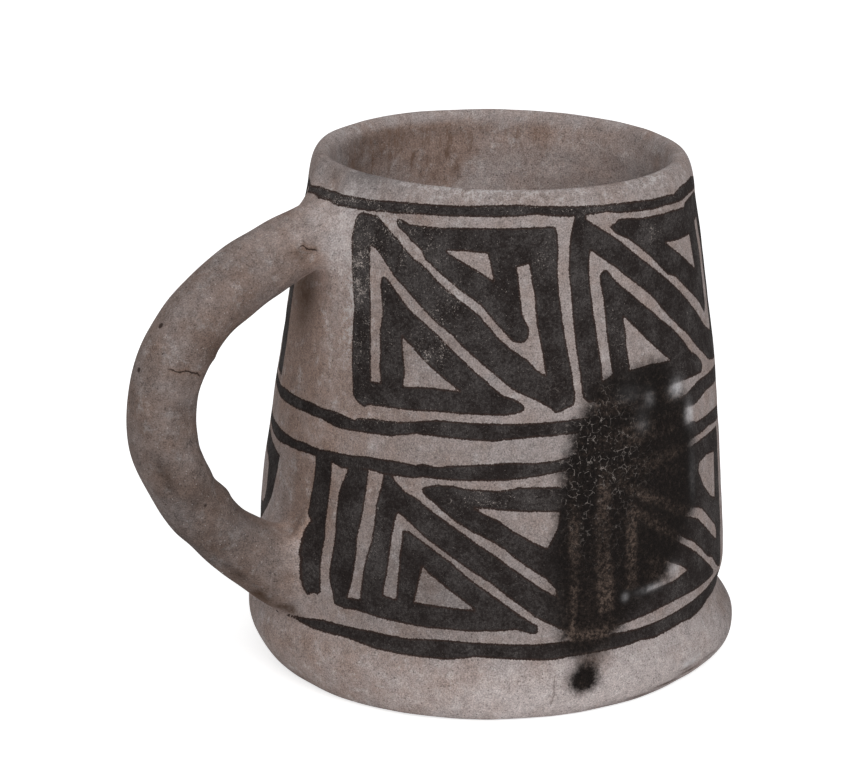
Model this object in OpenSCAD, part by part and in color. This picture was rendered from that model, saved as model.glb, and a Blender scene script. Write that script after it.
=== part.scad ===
// A clay mug built from a base disc, stacked coils, a rolled loop handle and clay worked round its roots.
// Millimetres. It stands on z = 0, its handle points towards -X, and its axis leans a little.

/* [Pot] */
// Height of the pot along its own axis
pot_h = 105.3; // [95:0.1:120]
// Outer radius of the wall just under the lip
neck_r = 38.9; // [36:0.1:42]
// Outer radius of the wall just above the foot
waist_r = 48.5; // [45:0.1:50]
// Power of the wall's curve, where 1 is a straight cone
wall_power = 1.4; // [1:0.05:2]
// Lean of the pot's axis in degrees
lean = 1.7; // [0:0.1:2.5]
// Direction of the lean in degrees from +X
lean_towards = -30; // [-180:5:180]

/* [Wall and floor] */
// Thickness of the wall at the lip
lip_t = 5.2; // [4:0.1:7]
// Thickness of the wall above the foot
wall_t = 6; // [4.5:0.1:8]
// Thickness of the floor
floor_t = 7; // [5:0.1:9]
// Radius of the hollow corner between floor and wall
corner_r = 7; // [4:0.5:8]

/* [Foot] */
// Height of the foot coil
foot_h = 17; // [16:0.5:22]
// Outer radius of the foot where it is widest
foot_r = 50.7; // [50:0.1:54]
// Height at which the foot is widest
foot_wide_z = 8.5; // [6:0.5:10]
// Radius of the rounding under the foot's widest ring
foot_round_r = 12.5; // [12.5:0.5:16]
// Width of the foot coil, from its widest ring in to the base disc
foot_t = 16.2; // [12:0.1:20]

/* [Coils] */
// Height of the rim coil, with the lip on it
rim_coil_h = 14; // [12:0.5:18]
// Height of the rounded lip
lip_h = 6.5; // [4:0.1:8]
// How far a coil is pressed down inside the one below
coil_lap = 1.5; // [0.5:0.1:2.5]

/* [Handle] */
// How far the middle of the upper root lies below the top of the lip
root_top_drop = 13.3; // [11.3:0.1:17]
// Height at which the lower root meets the wall
root_low_z = 21.5; // [20:0.5:30]
// Height of the bow's outermost point
bow_z = 58; // [52:0.5:62]
// Distance from the pot's axis to the bow's outermost centre point
bow_reach = 75.5; // [68:0.5:82]
// Thickness of the roll at the upper root
roll_top_t = 14.2; // [12:0.1:17]
// Thickness of the roll at the lower root
roll_low_t = 13; // [11:0.1:16]
// Width of the roll against its thickness
roll_width_share = 1.05; // [0.9:0.05:1.3]
// Angle below level at which the upper root leaves the wall, degrees
root_top_dip = 21; // [10:1:35]
// Angle above level at which the lower root leaves the wall, degrees
root_low_rise = 42; // [30:1:55]

/* [Worked clay at the roots] */
// Distance that it runs out along the roll
luting_l = 8; // [5:0.5:11]
// Distance that it spreads over the wall
luting_spread = 3.5; // [2:0.1:5]
// Its thickness at its edges
luting_edge_t = 0.5; // [0.3:0.1:1]
// Film between it and the clay that it is pressed on
luting_film = 0.1; // [0.05:0.05:0.2]

/* [Hidden] */
$fn = 96;

// Colours of the fired clay, and of the coils that carry most of the paint
clay = [0.60, 0.55, 0.53];
painted_clay = [0.36, 0.33, 0.32];

wall_coil_count = 7;
neck_z = pot_h - lip_h;
rim_coil_z = pot_h - rim_coil_h;
wall_coil_h = (rim_coil_z - foot_h) / wall_coil_count;
// The hollow corner stops short of the foot coil's top
corner_room_share = 0.95;
corner = min(corner_r, corner_room_share * (foot_h - coil_lap - floor_t));
floor_r = foot_r - foot_t;
root_top_z = pot_h - root_top_drop;
// The rounding and the base run on below the table to here, and are then cut flat
bottom_z = foot_wide_z - foot_round_r;

// Steps in the outlines
coil_steps = 2;
round_steps = 8;

// How far each end of the roll is carried into the pot before it is cut to the wall
root_sink_share = 0.35;
roll_sides = 20;
roll_steps = 15;
luting_sides = 24;
luting_steps = 4;
// The line where the roll meets the wall is looked for this far along the bow each way from a root
search_share = 0.4;
search_steps = 16;
// Length of the bow's guide arms, as shares of its reach beyond the wall at each end
top_arm_share = 0.58;
top_crown_share = 0.56;
low_crown_share = 0.6;
low_arm_share = 0.68;

// Outer radius of the wall at a height: the waist's, less a power of the height above the foot
function wall_r(z) =
    waist_r - (waist_r - neck_r) * pow(max(0, z - foot_h) / (neck_z - foot_h), wall_power);

// Share of the wall's top that the rounded lip keeps at a height
function lip_share(z) = sqrt(1 - pow(min(1, (z - neck_z) / lip_h), 2));

// Outer radius of the whole pot: the foot's smooth draw in to the wall, the wall, and the rounded lip
function pot_r(z) =
    z > neck_z ? neck_r - lip_t * (1 - lip_share(z)) / 2 :
    z >= foot_h ? wall_r(z) :
    waist_r + (foot_r - waist_r) * (1 + cos(180 * (z - foot_wide_z) / (foot_h - foot_wide_z))) / 2;

// Thickness of the wall at a height, evenly from the waist to the neck
function wall_thick(z) = wall_t + (lip_t - wall_t) * min(1, max(0, z - foot_h) / (neck_z - foot_h));

function bore_r(z) = wall_r(z) - wall_thick(z);

// Points up the outside of the wall, and down the inside, between two heights
function outside(low, high) =
    [for (i = [0 : coil_steps]) let (z = low + (high - low) * i / coil_steps) [wall_r(z), z]];
function inside(low, high) =
    [for (i = [coil_steps : -1 : 0]) let (z = low + (high - low) * i / coil_steps) [bore_r(z), z]];

// Outside of the foot: a round up to its widest ring, then a smooth draw in to the wall
foot_outside = concat(
    [for (i = [0 : round_steps]) let (a = 90 * i / round_steps)
        [foot_r - foot_round_r * (1 - sin(a)), foot_wide_z - foot_round_r * cos(a)]],
    [for (i = [1 : round_steps]) let (z = foot_wide_z + (foot_h - foot_wide_z) * i / round_steps)
        [pot_r(z), z]]);

// Hollow corner from the wall down to the floor
floor_corner = [for (i = [0 : round_steps]) let (a = 90 * i / round_steps)
    [bore_r(foot_h) - corner * (1 - cos(a)), floor_t + corner * (1 - sin(a))]];

// Rounded lip, from the outside over the top to the inside
lip_round = [for (i = [0 : 2 * round_steps]) let (a = 90 * i / round_steps)
    [neck_r - lip_t * (1 - cos(a)) / 2, neck_z + lip_h * sin(a)]];

// Everything but the bottom cut leans with the pot
module leaning() {
    rotate(lean_towards) rotate([0, lean, 0]) rotate(-lean_towards) children();
}

// The leaning foot is cut flat where it rests on the table
module cut_flat() {
    difference() {
        leaning() children();
        translate([-2 * foot_r, -2 * foot_r, -2 * foot_r]) cube([4 * foot_r, 4 * foot_r, 2 * foot_r]);
    }
}

module base_disc() {
    color(clay) cut_flat() translate([0, 0, bottom_z]) cylinder(r = floor_r, h = floor_t - bottom_z);
}

module foot_coil() {
    color(clay) cut_flat() rotate_extrude() polygon(concat(
        foot_outside,
        [[bore_r(foot_h - coil_lap), foot_h - coil_lap]],
        floor_corner,
        [[floor_r, floor_t], [floor_r, bottom_z]]));
}

// One wall coil, counted from 0 above the foot, pressed down inside the coil below
module wall_coil(i) {
    low = foot_h + i * wall_coil_h;
    color(painted_clay) leaning() rotate_extrude() polygon(concat(
        outside(low, low + wall_coil_h),
        inside(low - coil_lap, low + wall_coil_h - coil_lap)));
}

module rim_coil() {
    color(clay) leaning() rotate_extrude() polygon(concat(
        outside(rim_coil_z, neck_z),
        lip_round,
        inside(rim_coil_z - coil_lap, neck_z)));
}

// The filled outside of the wall, to which the handle and the worked clay are cut
module wall_body() {
    rotate_extrude() polygon(concat(
        [[0, bottom_z]],
        foot_outside,
        [for (i = [0 : wall_coil_count - 1]) each outside(foot_h + i * wall_coil_h,
            foot_h + (i + 1) * wall_coil_h)],
        outside(rim_coil_z, neck_z),
        [[neck_r, 2 * pot_h], [0, 2 * pot_h]]));
}

// Bezier curve through four points
function bezier(p, u) =
    pow(1 - u, 3) * p[0] + 3 * u * pow(1 - u, 2) * p[1] + 3 * u * u * (1 - u) * p[2] + pow(u, 3) * p[3];
function bezier_slope(p, u) =
    3 * pow(1 - u, 2) * (p[1] - p[0]) + 6 * u * (1 - u) * (p[2] - p[1]) + 3 * u * u * (p[3] - p[2]);

// Guide points of the bow's two halves, as distance from the axis and height
top_root = [wall_r(root_top_z), root_top_z];
low_root = [wall_r(root_low_z), root_low_z];
crown = [bow_reach, bow_z];
top_reach = bow_reach - top_root[0];
low_reach = bow_reach - low_root[0];
top_way = [cos(root_top_dip), -sin(root_top_dip)];
low_way = [cos(root_low_rise), sin(root_low_rise)];
top_half = [top_root, top_root + top_arm_share * top_reach * top_way,
    crown + [0, top_crown_share * top_reach], crown];
low_half = [crown, crown - [0, low_crown_share * low_reach],
    low_root + low_arm_share * low_reach * low_way, low_root];

// Centre of the bow from 0 at the upper root to 2 at the lower, running on straight past both
function bow_slope(t) = t <= 1 ? bezier_slope(top_half, max(0, t)) : bezier_slope(low_half, min(1, t - 1));
function bow_at(t) =
    t < 0 ? top_root + t * bow_slope(0) :
    t > 2 ? low_root + (t - 2) * bow_slope(2) :
    t <= 1 ? bezier(top_half, t) : bezier(low_half, t - 1);

// Point on the roll at t, a degrees round it from the bow's outer side, standing off by out
function roll_point(t, a, out = 0) =
    let (c = bow_at(t),
        way = bow_slope(t) / norm(bow_slope(t)),
        half = (roll_top_t + (roll_low_t - roll_top_t) * min(2, max(0, t)) / 2) / 2)
    [-c[0] + (half + out) * cos(a) * way[1],
     (half * roll_width_share + out) * sin(a),
     c[1] + (half + out) * cos(a) * way[0]];

module roll() {
    stops = concat([-root_sink_share], [for (k = [0 : 2 * roll_steps]) k / roll_steps], [2 + root_sink_share]);
    last = len(stops) - 1;
    n = roll_sides;
    polyhedron(
        points = [for (t = stops) for (i = [0 : n - 1]) roll_point(t, 360 * i / n)],
        faces = concat(
            [[for (i = [0 : n - 1]) n - 1 - i]],
            [for (k = [0 : last - 1]) for (i = [0 : n - 1]) let (j = (i + 1) % n)
                each [[k * n + i, k * n + j, (k + 1) * n + i],
                    [k * n + j, (k + 1) * n + j, (k + 1) * n + i]]],
            [[for (i = [0 : n - 1]) last * n + i]]));
}

module handle() {
    color(clay) leaning() difference() {
        roll();
        wall_body();
    }
}

// How far a point lies outside the film on the wall
function clear_of_wall(p) = norm([p[0], p[1]]) - pot_r(p[2]) - luting_film;

// Place on the bow, from a root, at which the roll's line at angle a leaves the wall, found by halving
function meets_wall(start, turn, a, low, high, left) =
    let (mid = (low + high) / 2)
    left == 0 ? mid :
    clear_of_wall(roll_point(start + turn * mid, a, luting_film)) > 0 ?
        meets_wall(start, turn, a, low, mid, left - 1) :
        meets_wall(start, turn, a, mid, high, left - 1);

// Point of the wall's surface at y and z on the handle's side, standing off by out
function on_wall(y, z, out) = [-sqrt(pow(pot_r(z) + out, 2) - y * y), y, z];

// Section through the worked clay at angle a: along the roll, then over a hollow to the wall and back
function luting_section(start, turn, a) =
    let (at_wall = meets_wall(start, turn, a, -search_share, search_share, search_steps),
        far = start + turn * (at_wall + luting_l / norm(bow_slope(start))),
        meet = roll_point(start + turn * at_wall, a, luting_film),
        from_root = [meet[1], meet[2] - bow_at(start)[1]],
        way = from_root / norm(from_root),
        foot_y = meet[1] + luting_spread * way[0],
        foot_z = meet[2] + luting_spread * way[1],
        roll_end = roll_point(far, a, luting_film + luting_edge_t),
        wall_end = on_wall(foot_y, foot_z, luting_film + luting_edge_t),
        hollow = (roll_end + wall_end + 2 * meet) / 4)
    concat(
        [meet, roll_point(far, a, luting_film)],
        [for (k = [0 : luting_steps]) bezier([roll_end, (roll_end + 2 * hollow) / 3,
            (wall_end + 2 * hollow) / 3, wall_end], k / luting_steps)],
        [on_wall(foot_y, foot_z, luting_film)]);

// Worked clay round one root, as a closed ring of sections: start is 0 or 2, turn is 1 or -1
module luting(start, turn) {
    sections = [for (i = [0 : luting_sides - 1]) luting_section(start, turn, 360 * i / luting_sides)];
    n = luting_sides;
    m = len(sections[0]);
    polyhedron(
        points = [for (section = sections) each section],
        faces = [for (i = [0 : n - 1]) for (k = [0 : m - 1])
            let (a = i * m + k, b = i * m + (k + 1) % m,
                c = ((i + 1) % n) * m + (k + 1) % m, d = ((i + 1) % n) * m + k)
            each turn > 0 ? [[a, b, c], [a, c, d]] : [[a, c, b], [a, d, c]]]);
}

module upper_luting() {
    color(clay) leaning() luting(0, 1);
}

module lower_luting() {
    color(clay) leaning() luting(2, -1);
}

base_disc();
foot_coil();
wall_coil(0);  // wall_coil_1
wall_coil(1);  // wall_coil_2
wall_coil(2);  // wall_coil_3
wall_coil(3);  // wall_coil_4
wall_coil(4);  // wall_coil_5
wall_coil(5);  // wall_coil_6
wall_coil(6);  // wall_coil_7
rim_coil();
handle();
upper_luting();
lower_luting();
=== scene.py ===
"""A clay mug built by hand from coils, with a rolled loop handle and near-black painted frets.

Lengths are in millimetres up to the point where a mesh is made, and then in metres. The pot is worked out
in its own upright frame and leaned at the end. A place on its wall is written as an angle in degrees round
from the handle, anticlockwise from above, and a height along its axis.
"""
import math

import bpy
import numpy as np
from mathutils import Matrix


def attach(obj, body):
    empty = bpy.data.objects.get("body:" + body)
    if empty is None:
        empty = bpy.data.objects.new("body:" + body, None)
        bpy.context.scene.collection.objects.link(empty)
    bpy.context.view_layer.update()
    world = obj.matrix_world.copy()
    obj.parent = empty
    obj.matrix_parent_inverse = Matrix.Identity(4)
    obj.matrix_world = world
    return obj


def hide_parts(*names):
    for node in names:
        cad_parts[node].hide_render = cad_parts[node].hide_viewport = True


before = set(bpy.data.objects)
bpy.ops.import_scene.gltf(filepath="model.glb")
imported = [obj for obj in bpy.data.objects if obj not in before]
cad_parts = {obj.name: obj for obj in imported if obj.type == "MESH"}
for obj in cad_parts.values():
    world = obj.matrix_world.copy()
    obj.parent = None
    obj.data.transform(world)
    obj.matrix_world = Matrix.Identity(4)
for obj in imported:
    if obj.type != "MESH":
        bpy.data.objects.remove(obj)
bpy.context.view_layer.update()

MM = 0.001

# The pot, as the coils give it
POT_H = 105.3
NECK_R = 38.9
WAIST_R = 48.5
WALL_POWER = 1.4
LEAN = 1.7
LEAN_TOWARDS = -30.0
LIP_T = 5.2
LIP_H = 6.5
WALL_T = 6.0
FLOOR_T = 7.0
CORNER_R = 7.0
FOOT_H = 17.0
FOOT_R = 50.7
FOOT_WIDE_Z = 8.5
FOOT_ROUND_R = 12.5
DISC_R = 34.5
RIM_COIL_H = 14.0
COIL_LAP = 1.5
COILS = 7
NECK_Z = POT_H - LIP_H
RIM_COIL_Z = POT_H - RIM_COIL_H
COIL_H = (RIM_COIL_Z - FOOT_H) / COILS
BOTTOM_Z = FOOT_WIDE_Z - FOOT_ROUND_R

# The handle's bow, a roll of clay between two roots. The bow runs from 0 at the upper root, over 1 at the
# crown, to 2 at the lower, and each of the two halves is about BOW_STEP long. ARM_SHARES gives the length of
# its four guide arms, in shares of the way out from root to crown
ROOT_TOP_Z = 92.0
ROOT_LOW_Z = 21.5
BOW_Z = 58.0
BOW_REACH = 75.5
BOW_STEP = 55.0
ROLL_TOP_T = 14.2
ROLL_LOW_T = 13.0
ROLL_WIDTH_SHARE = 1.05
ROOT_TOP_DIP = 21.0
ROOT_LOW_RISE = 42.0
ARM_SHARES = (0.58, 0.56, 0.6, 0.68)
# How deep the roll's ends may go into the wall
ROLL_IN_WALL = 3.8

# The clay worked round a root: how far it reaches along the roll and over the wall, and its thickness
LUTING_ON_ROLL = 17.0
LUTING_ON_WALL = 15.0
LUTING_T = 0.9

# How finely the skins are worked: places round the pot, and millimetres from row to row
ROUND = 720
ROW = 0.41

# How the painted outlines are measured: about how long a degree is on the wall, in millimetres, and a
# distance that counts as nowhere near the paint
MM_PER_DEGREE = 0.8
FAR = 9.0


def smooth_step(low, high, x):
    """0 below low, 1 above high, and a smooth cubic between them."""
    t = np.clip((x - low) / (high - low), 0, 1)
    return t * t * (3 - 2 * t)


def unit(vectors):
    """Vectors brought to length 1."""
    return vectors / np.maximum(np.linalg.norm(vectors, axis=-1, keepdims=True), 1e-12)


def turned(degrees, reference=0.0):
    """An angle brought to within half a turn of a reference."""
    return (degrees - reference + 180) % 360 - 180


def level_turn(degrees):
    """The matrix of a turn about the upright axis."""
    c, s = math.cos(math.radians(degrees)), math.sin(math.radians(degrees))
    return np.array([[c, -s, 0], [s, c, 0], [0, 0, 1]])


def around_axis(r, angle, z):
    """Points at a radius, an angle in degrees round from the handle and a height."""
    a = np.radians(angle)
    return np.stack(np.broadcast_arrays(-r * np.cos(a), -r * np.sin(a), z), -1)


def waves(points, seed, count, shortest, longest):
    """Smooth unevenness from -1 to 1: a sum of cosine waves with random directions, lengths and phases."""
    rng = np.random.default_rng(seed)
    total = np.zeros(points.shape[:-1])
    for _ in range(count):
        way = rng.normal(size=3)
        way *= 2 * math.pi / (np.linalg.norm(way) * rng.uniform(shortest, longest))
        total += np.cos(points @ way + rng.uniform(0, 2 * math.pi))
    return total / math.sqrt(2 * count)


def lumps(angle, height, places):
    """Soft swellings and hollows: each is (angle, height, half width in degrees, half height, amount)."""
    total = np.zeros(np.broadcast(angle, height).shape)
    for at, up, wide, tall, amount in places:
        across = turned(angle, at) / wide
        total += amount * np.exp(-across * across - ((height - up) / tall) ** 2)
    return total


def spots(points, places):
    """Soft round patches: the sum of each one's amount, falling off with distance over its reach."""
    total = np.zeros(points.shape[:-1])
    for x, y, z, reach, amount in places:
        total += amount * np.exp(-((points - [x, y, z]) ** 2).sum(-1) / reach**2)
    return total


def lean_matrix():
    """Turns the upright pot by LEAN degrees towards LEAN_TOWARDS."""
    tip = math.radians(LEAN)
    lean = np.array([[math.cos(tip), 0, math.sin(tip)], [0, 1, 0], [-math.sin(tip), 0, math.cos(tip)]])
    return level_turn(LEAN_TOWARDS) @ lean @ level_turn(-LEAN_TOWARDS)


LEAN_MATRIX = lean_matrix()


def wall_r(z):
    """Outer radius of the wall: the waist's, less a power of the height above the foot."""
    share = np.maximum(0, z - FOOT_H) / (NECK_Z - FOOT_H)
    return WAIST_R - (WAIST_R - NECK_R) * share**WALL_POWER


def bore_r(z):
    """Inner radius of the wall, whose thickness goes evenly from the waist to the neck."""
    share = np.clip((z - FOOT_H) / (NECK_Z - FOOT_H), 0, 1)
    return wall_r(z) - (WALL_T + (LIP_T - WALL_T) * share)


def pot_r(z):
    """Outer radius of the whole pot: foot rounding, draw in to the wall, wall and lip."""
    z = np.asarray(z, float)
    draw = (FOOT_R - WAIST_R) * (1 + np.cos(np.pi * (z - FOOT_WIDE_Z) / (FOOT_H - FOOT_WIDE_Z))) / 2
    under = np.clip((FOOT_WIDE_Z - z) / FOOT_ROUND_R, 0, 1)
    r = np.where(z < FOOT_H, WAIST_R + draw, wall_r(z))
    r = np.where(z < FOOT_WIDE_Z, FOOT_R - FOOT_ROUND_R * (1 - np.sqrt(1 - under * under)), r)
    over = np.clip((z - NECK_Z) / LIP_H, 0, 1)
    return np.where(z > NECK_Z, NECK_R - LIP_T * (1 - np.sqrt(1 - over * over)) / 2, r)


# Swellings and hollows of the outside and of the rim's height, as the hand left them
OUTSIDE_LUMPS = [
    (149, 62, 30, 34, 0.8), (149, 98, 25, 12, 0.25), (-30, 36, 18, 12, 0.5), (-30, 70, 14, 10, -0.15),
    (149, 14, 24, 3.4, -1.4), (149, 6, 24, 3.5, 0.45), (120, 0, 38, 4.5, -0.85), (-28, 13, 18, 3, -0.5),
    (0, 1, 38, 4, -0.38), (45, 0, 25, 3, 0.45), (149, 17.5, 20, 2, -0.35), (128, 4, 20, 3, 0.3),
    (9.5, 36, 2, 3, 0.8), (8, 31.5, 2, 3, 0.8), (13, 35, 2.5, 5, -0.3)]
RIM_RISE = [(240, 105, 60, 20, 0.3)]


def soft_neck(z):
    """Rounds the turn where the wall meets the lip: the slopes' difference, eased over a few millimetres."""
    reach = 4.0
    slope = WALL_POWER * (WAIST_R - NECK_R) / (NECK_Z - FOOT_H)
    return slope * reach / 4 * np.maximum(0, 1 - np.abs(z - NECK_Z) / reach) ** 2


def outside_lift(angle, z):
    """How far the outside stands off its plain shape."""
    at = around_axis(pot_r(z), angle, z)
    rough = 0.16 * waves(at, 3, 14, 14, 34) + 0.05 * waves(at, 4, 16, 5, 10)
    return rough + lumps(angle, z, OUTSIDE_LUMPS)


def inside_lift(angle, z):
    """How far the inside stands off its plain shape, towards the axis. Its waves are those of a bore 40 mm
    in radius, pressed to a third of their height, so that they run round the cup."""
    at = around_axis(40, angle, 3 * z)
    return 0.25 * waves(at, 5, 14, 18, 50) + 0.06 * waves(at, 6, 12, 8, 14)


def on_table(points):
    """The leaned pot's underside brought flat onto the table, with a soft edge."""
    soft = 0.5
    z = points[..., 2]
    wear = 0.12 * np.maximum(0, 1 + waves(points * [1, 1, 0], 8, 10, 9, 25))
    points[..., 2] = (z + np.sqrt(z * z + soft * soft)) / 2 + wear * smooth_step(2, 0, z)
    return points


def grid_normals(points):
    """Normals of rows of points that are closed round, from the points' differences along and across them."""
    around = np.roll(points, -1, 1) - np.roll(points, 1, 1)
    return unit(np.cross(around, np.gradient(points, axis=0)))


def steps(low, high, spacing):
    """Evenly spaced values from low to high, both included."""
    return np.linspace(low, high, max(2, int(round(abs(high - low) / spacing)) + 1))


class Skin:
    """The pot's whole surface as rows of points, from under the foot, up the outside, over the lip and down
    the inside to the floor's middle. Every piece is cut from it, so neighbours share their edges exactly."""

    def __init__(self):
        """Lays out the rows of the plain shape, with the marks where each part of it starts and ends."""
        self.marks = {}
        rows = []

        def add(name, r, z, side):
            """Appends rows, with side 0 outside, 1 inside and between on the lip, and marks their ends."""
            first = len(rows)
            rows.extend(zip(*np.broadcast_arrays(r, z, side)))
            self.marks[name] = (first, len(rows))

        add("under", steps(DISC_R, FOOT_R - FOOT_ROUND_R, 2 * ROW)[:-1], BOTTOM_Z, 0)
        turn = np.radians(steps(0, 90, ROW * 180 / (math.pi * FOOT_ROUND_R)))
        add("round", FOOT_R - FOOT_ROUND_R * (1 - np.sin(turn)), FOOT_WIDE_Z - FOOT_ROUND_R * np.cos(turn), 0)
        z = steps(FOOT_WIDE_Z, FOOT_H, ROW)[1:]
        add("foot", pot_r(z), z, 0)
        for i in range(COILS):
            low = FOOT_H + i * COIL_H
            z = steps(low, low + COIL_H, ROW)[1:]
            add(f"out {i}", wall_r(z), z, 0)
        z = steps(RIM_COIL_Z, NECK_Z, ROW)[1:]
        add("out rim", wall_r(z), z, 0)
        turn = np.radians(steps(0, 180, 11.25 * ROW)[1:])
        add("lip", NECK_R - LIP_T * (1 - np.cos(turn)) / 2, NECK_Z + LIP_H * np.sin(turn), turn / math.pi)
        z = steps(NECK_Z, RIM_COIL_Z - COIL_LAP, 2 * ROW)[1:]
        add("in rim", bore_r(z), z, 1)
        for i in reversed(range(COILS)):
            high = FOOT_H + (i + 1) * COIL_H - COIL_LAP
            z = steps(high, high - COIL_H, 2 * ROW)[1:]
            add(f"in {i}", bore_r(z), z, 1)
        turn = np.radians(steps(0, 90, 15 * ROW))
        r = bore_r(FOOT_H) - CORNER_R * (1 - np.cos(turn))
        add("corner", r, FLOOR_T + CORNER_R * (1 - np.sin(turn)), 1)
        add("floor", steps(DISC_R, ROW, 2 * ROW), FLOOR_T, 1)
        self.angle = np.arange(ROUND) * 360.0 / ROUND
        self.points = self.place(*np.array(rows, float).T)
        self.normals = grid_normals(self.points)

    def place(self, r, z, side):
        """Every row's points: the plain shape, moved along its own normal by the unevenness, then leaned."""
        along_r, along_z = np.gradient(r)[:, None], np.gradient(z)[:, None]
        length = np.hypot(along_r, along_z)
        r, z, side = r[:, None], z[:, None], side[:, None]
        lift = (1 - side) * outside_lift(self.angle, z) + side * inside_lift(self.angle, z)
        rise = lumps(self.angle, z, RIM_RISE) * smooth_step(80, POT_H, z)
        r = r + along_z / length * lift + soft_neck(z)
        return on_table(around_axis(r, self.angle, z - along_r / length * lift + rise) @ LEAN_MATRIX.T)

    def rows(self, first, last=None, lead=1):
        """Row numbers from lead rows before the start of one mark to the end of another, or of the same."""
        return list(range(self.marks[first][0] - lead, self.marks[last or first][1]))


def bezier(p, u):
    """Points on a cubic through its first and last guide point, at shares u of the way."""
    u = u[..., None]
    return (1 - u) ** 3 * p[0] + 3 * u * (1 - u) ** 2 * p[1] + 3 * u * u * (1 - u) * p[2] + u**3 * p[3]


def bezier_slope(p, u):
    """Derivative of the same cubic."""
    u = u[..., None]
    return 3 * (1 - u) ** 2 * (p[1] - p[0]) + 6 * u * (1 - u) * (p[2] - p[1]) + 3 * u * u * (p[3] - p[2])


def bow_guides():
    """Guide points of the bow's two halves, as distance from the axis and height."""
    top = np.array([wall_r(ROOT_TOP_Z), ROOT_TOP_Z])
    low = np.array([wall_r(ROOT_LOW_Z), ROOT_LOW_Z])
    crown = np.array([BOW_REACH, BOW_Z])
    dip, rise = math.radians(ROOT_TOP_DIP), math.radians(ROOT_LOW_RISE)
    out, back = crown[0] - top[0], crown[0] - low[0]
    up = np.array([0.0, 1.0])
    upper = [top, top + ARM_SHARES[0] * out * np.array([math.cos(dip), -math.sin(dip)]),
             crown + ARM_SHARES[1] * out * up, crown]
    lower = [crown, crown - ARM_SHARES[2] * back * up,
             low + ARM_SHARES[3] * back * np.array([math.cos(rise), math.sin(rise)]), low]
    return upper, lower


UPPER_BOW, LOWER_BOW = bow_guides()


def bow(t):
    """Centre and unit direction of the bow at t, which goes straight on past both of its roots."""
    t = np.asarray(t, float)
    first, second = np.clip(t, 0, 1), np.clip(t - 1, 0, 1)
    upper = (t <= 1)[..., None]
    centre = np.where(upper, bezier(UPPER_BOW, first), bezier(LOWER_BOW, second))
    slope = np.where(upper, bezier_slope(UPPER_BOW, first), bezier_slope(LOWER_BOW, second))
    return centre + slope * (np.minimum(t, 0) + np.maximum(t - 2, 0))[..., None], unit(slope)


# Swellings of the roll: (angle round it from the bow's outer side, place along it, half width, half length,
# amount)
ROLL_LUMPS = [
    (5, 0.3, 70, 0.16, 0.6), (-120, 0.32, 75, 0.18, -1.0), (-150, 0.08, 70, 0.14, -1.1),
    (-120, 0.52, 60, 0.1, -0.55), (-15, 1.3, 60, 0.25, -0.4), (-150, 1.64, 60, 0.12, -1.2),
    (-150, 1.43, 50, 0.07, -0.8), (-155, 1.7, 50, 0.07, -0.6), (-152, 1.52, 35, 0.035, 0.22),
    (-28, 1.7, 60, 0.16, 0.9), (-25, 1.94, 60, 0.14, 1.1), (-128, 0.672, 25, 0.03, 0.3),
    (-60, 1.1, 40, 0.05, 0.25), (-70, 0.86, 40, 0.05, -0.25), (-95, 1.3, 35, 0.05, 0.2),
    (-62, 1.2, 9, 0.2, -0.3), (-80, 1.15, 9, 0.2, 0.22), (-45, 1.5, 12, 0.15, -0.2),
    (-75, 0.45, 25, 0.06, 0.2), (-40, 0.6, 20, 0.05, -0.2), (-38, 1.78, 9, 0.09, -0.35),
    (-56, 1.2, 8, 0.07, -0.3), (0, 1.5, 45, 0.06, 0.35), (-90, 0.2, 30, 0.03, 0.25),
    (-55, 0.34, 25, 0.04, -0.2)]


def roll_r(t, a):
    """Half thickness of the roll at t, in the direction a degrees round it from the bow's outer side: an
    ellipse that thins evenly towards the lower root, with the waves of a straight rod, and its lumps."""
    half = (ROLL_TOP_T + (ROLL_LOW_T - ROLL_TOP_T) * np.clip(t, 0, 2) / 2) / 2
    c, s = np.cos(np.radians(a)), np.sin(np.radians(a))
    at = np.stack(np.broadcast_arrays(40 * t, 7 * c, 7 * s), -1)
    rough = 0.24 * waves(at, 11, 12, 9, 26) + 0.1 * waves(at, 12, 14, 3.5, 8)
    return half / np.hypot(c, s / ROLL_WIDTH_SHARE) + rough + lumps(a, t, ROLL_LUMPS)


def roll_point(t, a):
    """Point on the roll in the upright pot's frame."""
    centre, way = bow(t)
    reach = roll_r(t, a)
    out, y = reach * np.cos(np.radians(a)), reach * np.sin(np.radians(a))
    x, z = out * way[..., 1] - centre[..., 0], out * way[..., 0] + centre[..., 1]
    return np.stack([x, y, z], -1)


def at_wall(points):
    """Angle and height of points of the upright frame, and how far they lie outside the plain pot."""
    x, y, z = np.moveaxis(points, -1, 0)
    return np.degrees(np.arctan2(-y, -x)), z, np.hypot(x, y) - pot_r(z)


def at_bow(points, first, last):
    """Nearest place along the bow for points of the upright frame, how far past it they lie, how far outside
    the bow's line in its own plane, and the angle round the roll. Places are tried 0.005 apart."""
    t = np.linspace(first, last, int(round((last - first) / 0.005)) + 1)
    centre, way = bow(t)
    x, y, z = points.T
    near = ((-x[:, None] - centre[:, 0]) ** 2 + (z[:, None] - centre[:, 1]) ** 2).argmin(1)
    out_x, out_z = -x - centre[near, 0], z - centre[near, 1]
    along = out_x * way[near, 0] + out_z * way[near, 1]
    side = out_z * way[near, 0] - out_x * way[near, 1]
    return t[near], along, side, np.degrees(np.arctan2(y, side))


def from_wall(points):
    """How far points of the upright frame lie outside the pot's wall."""
    angle, z, off = at_wall(points)
    return off - outside_lift(angle, z)


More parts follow.
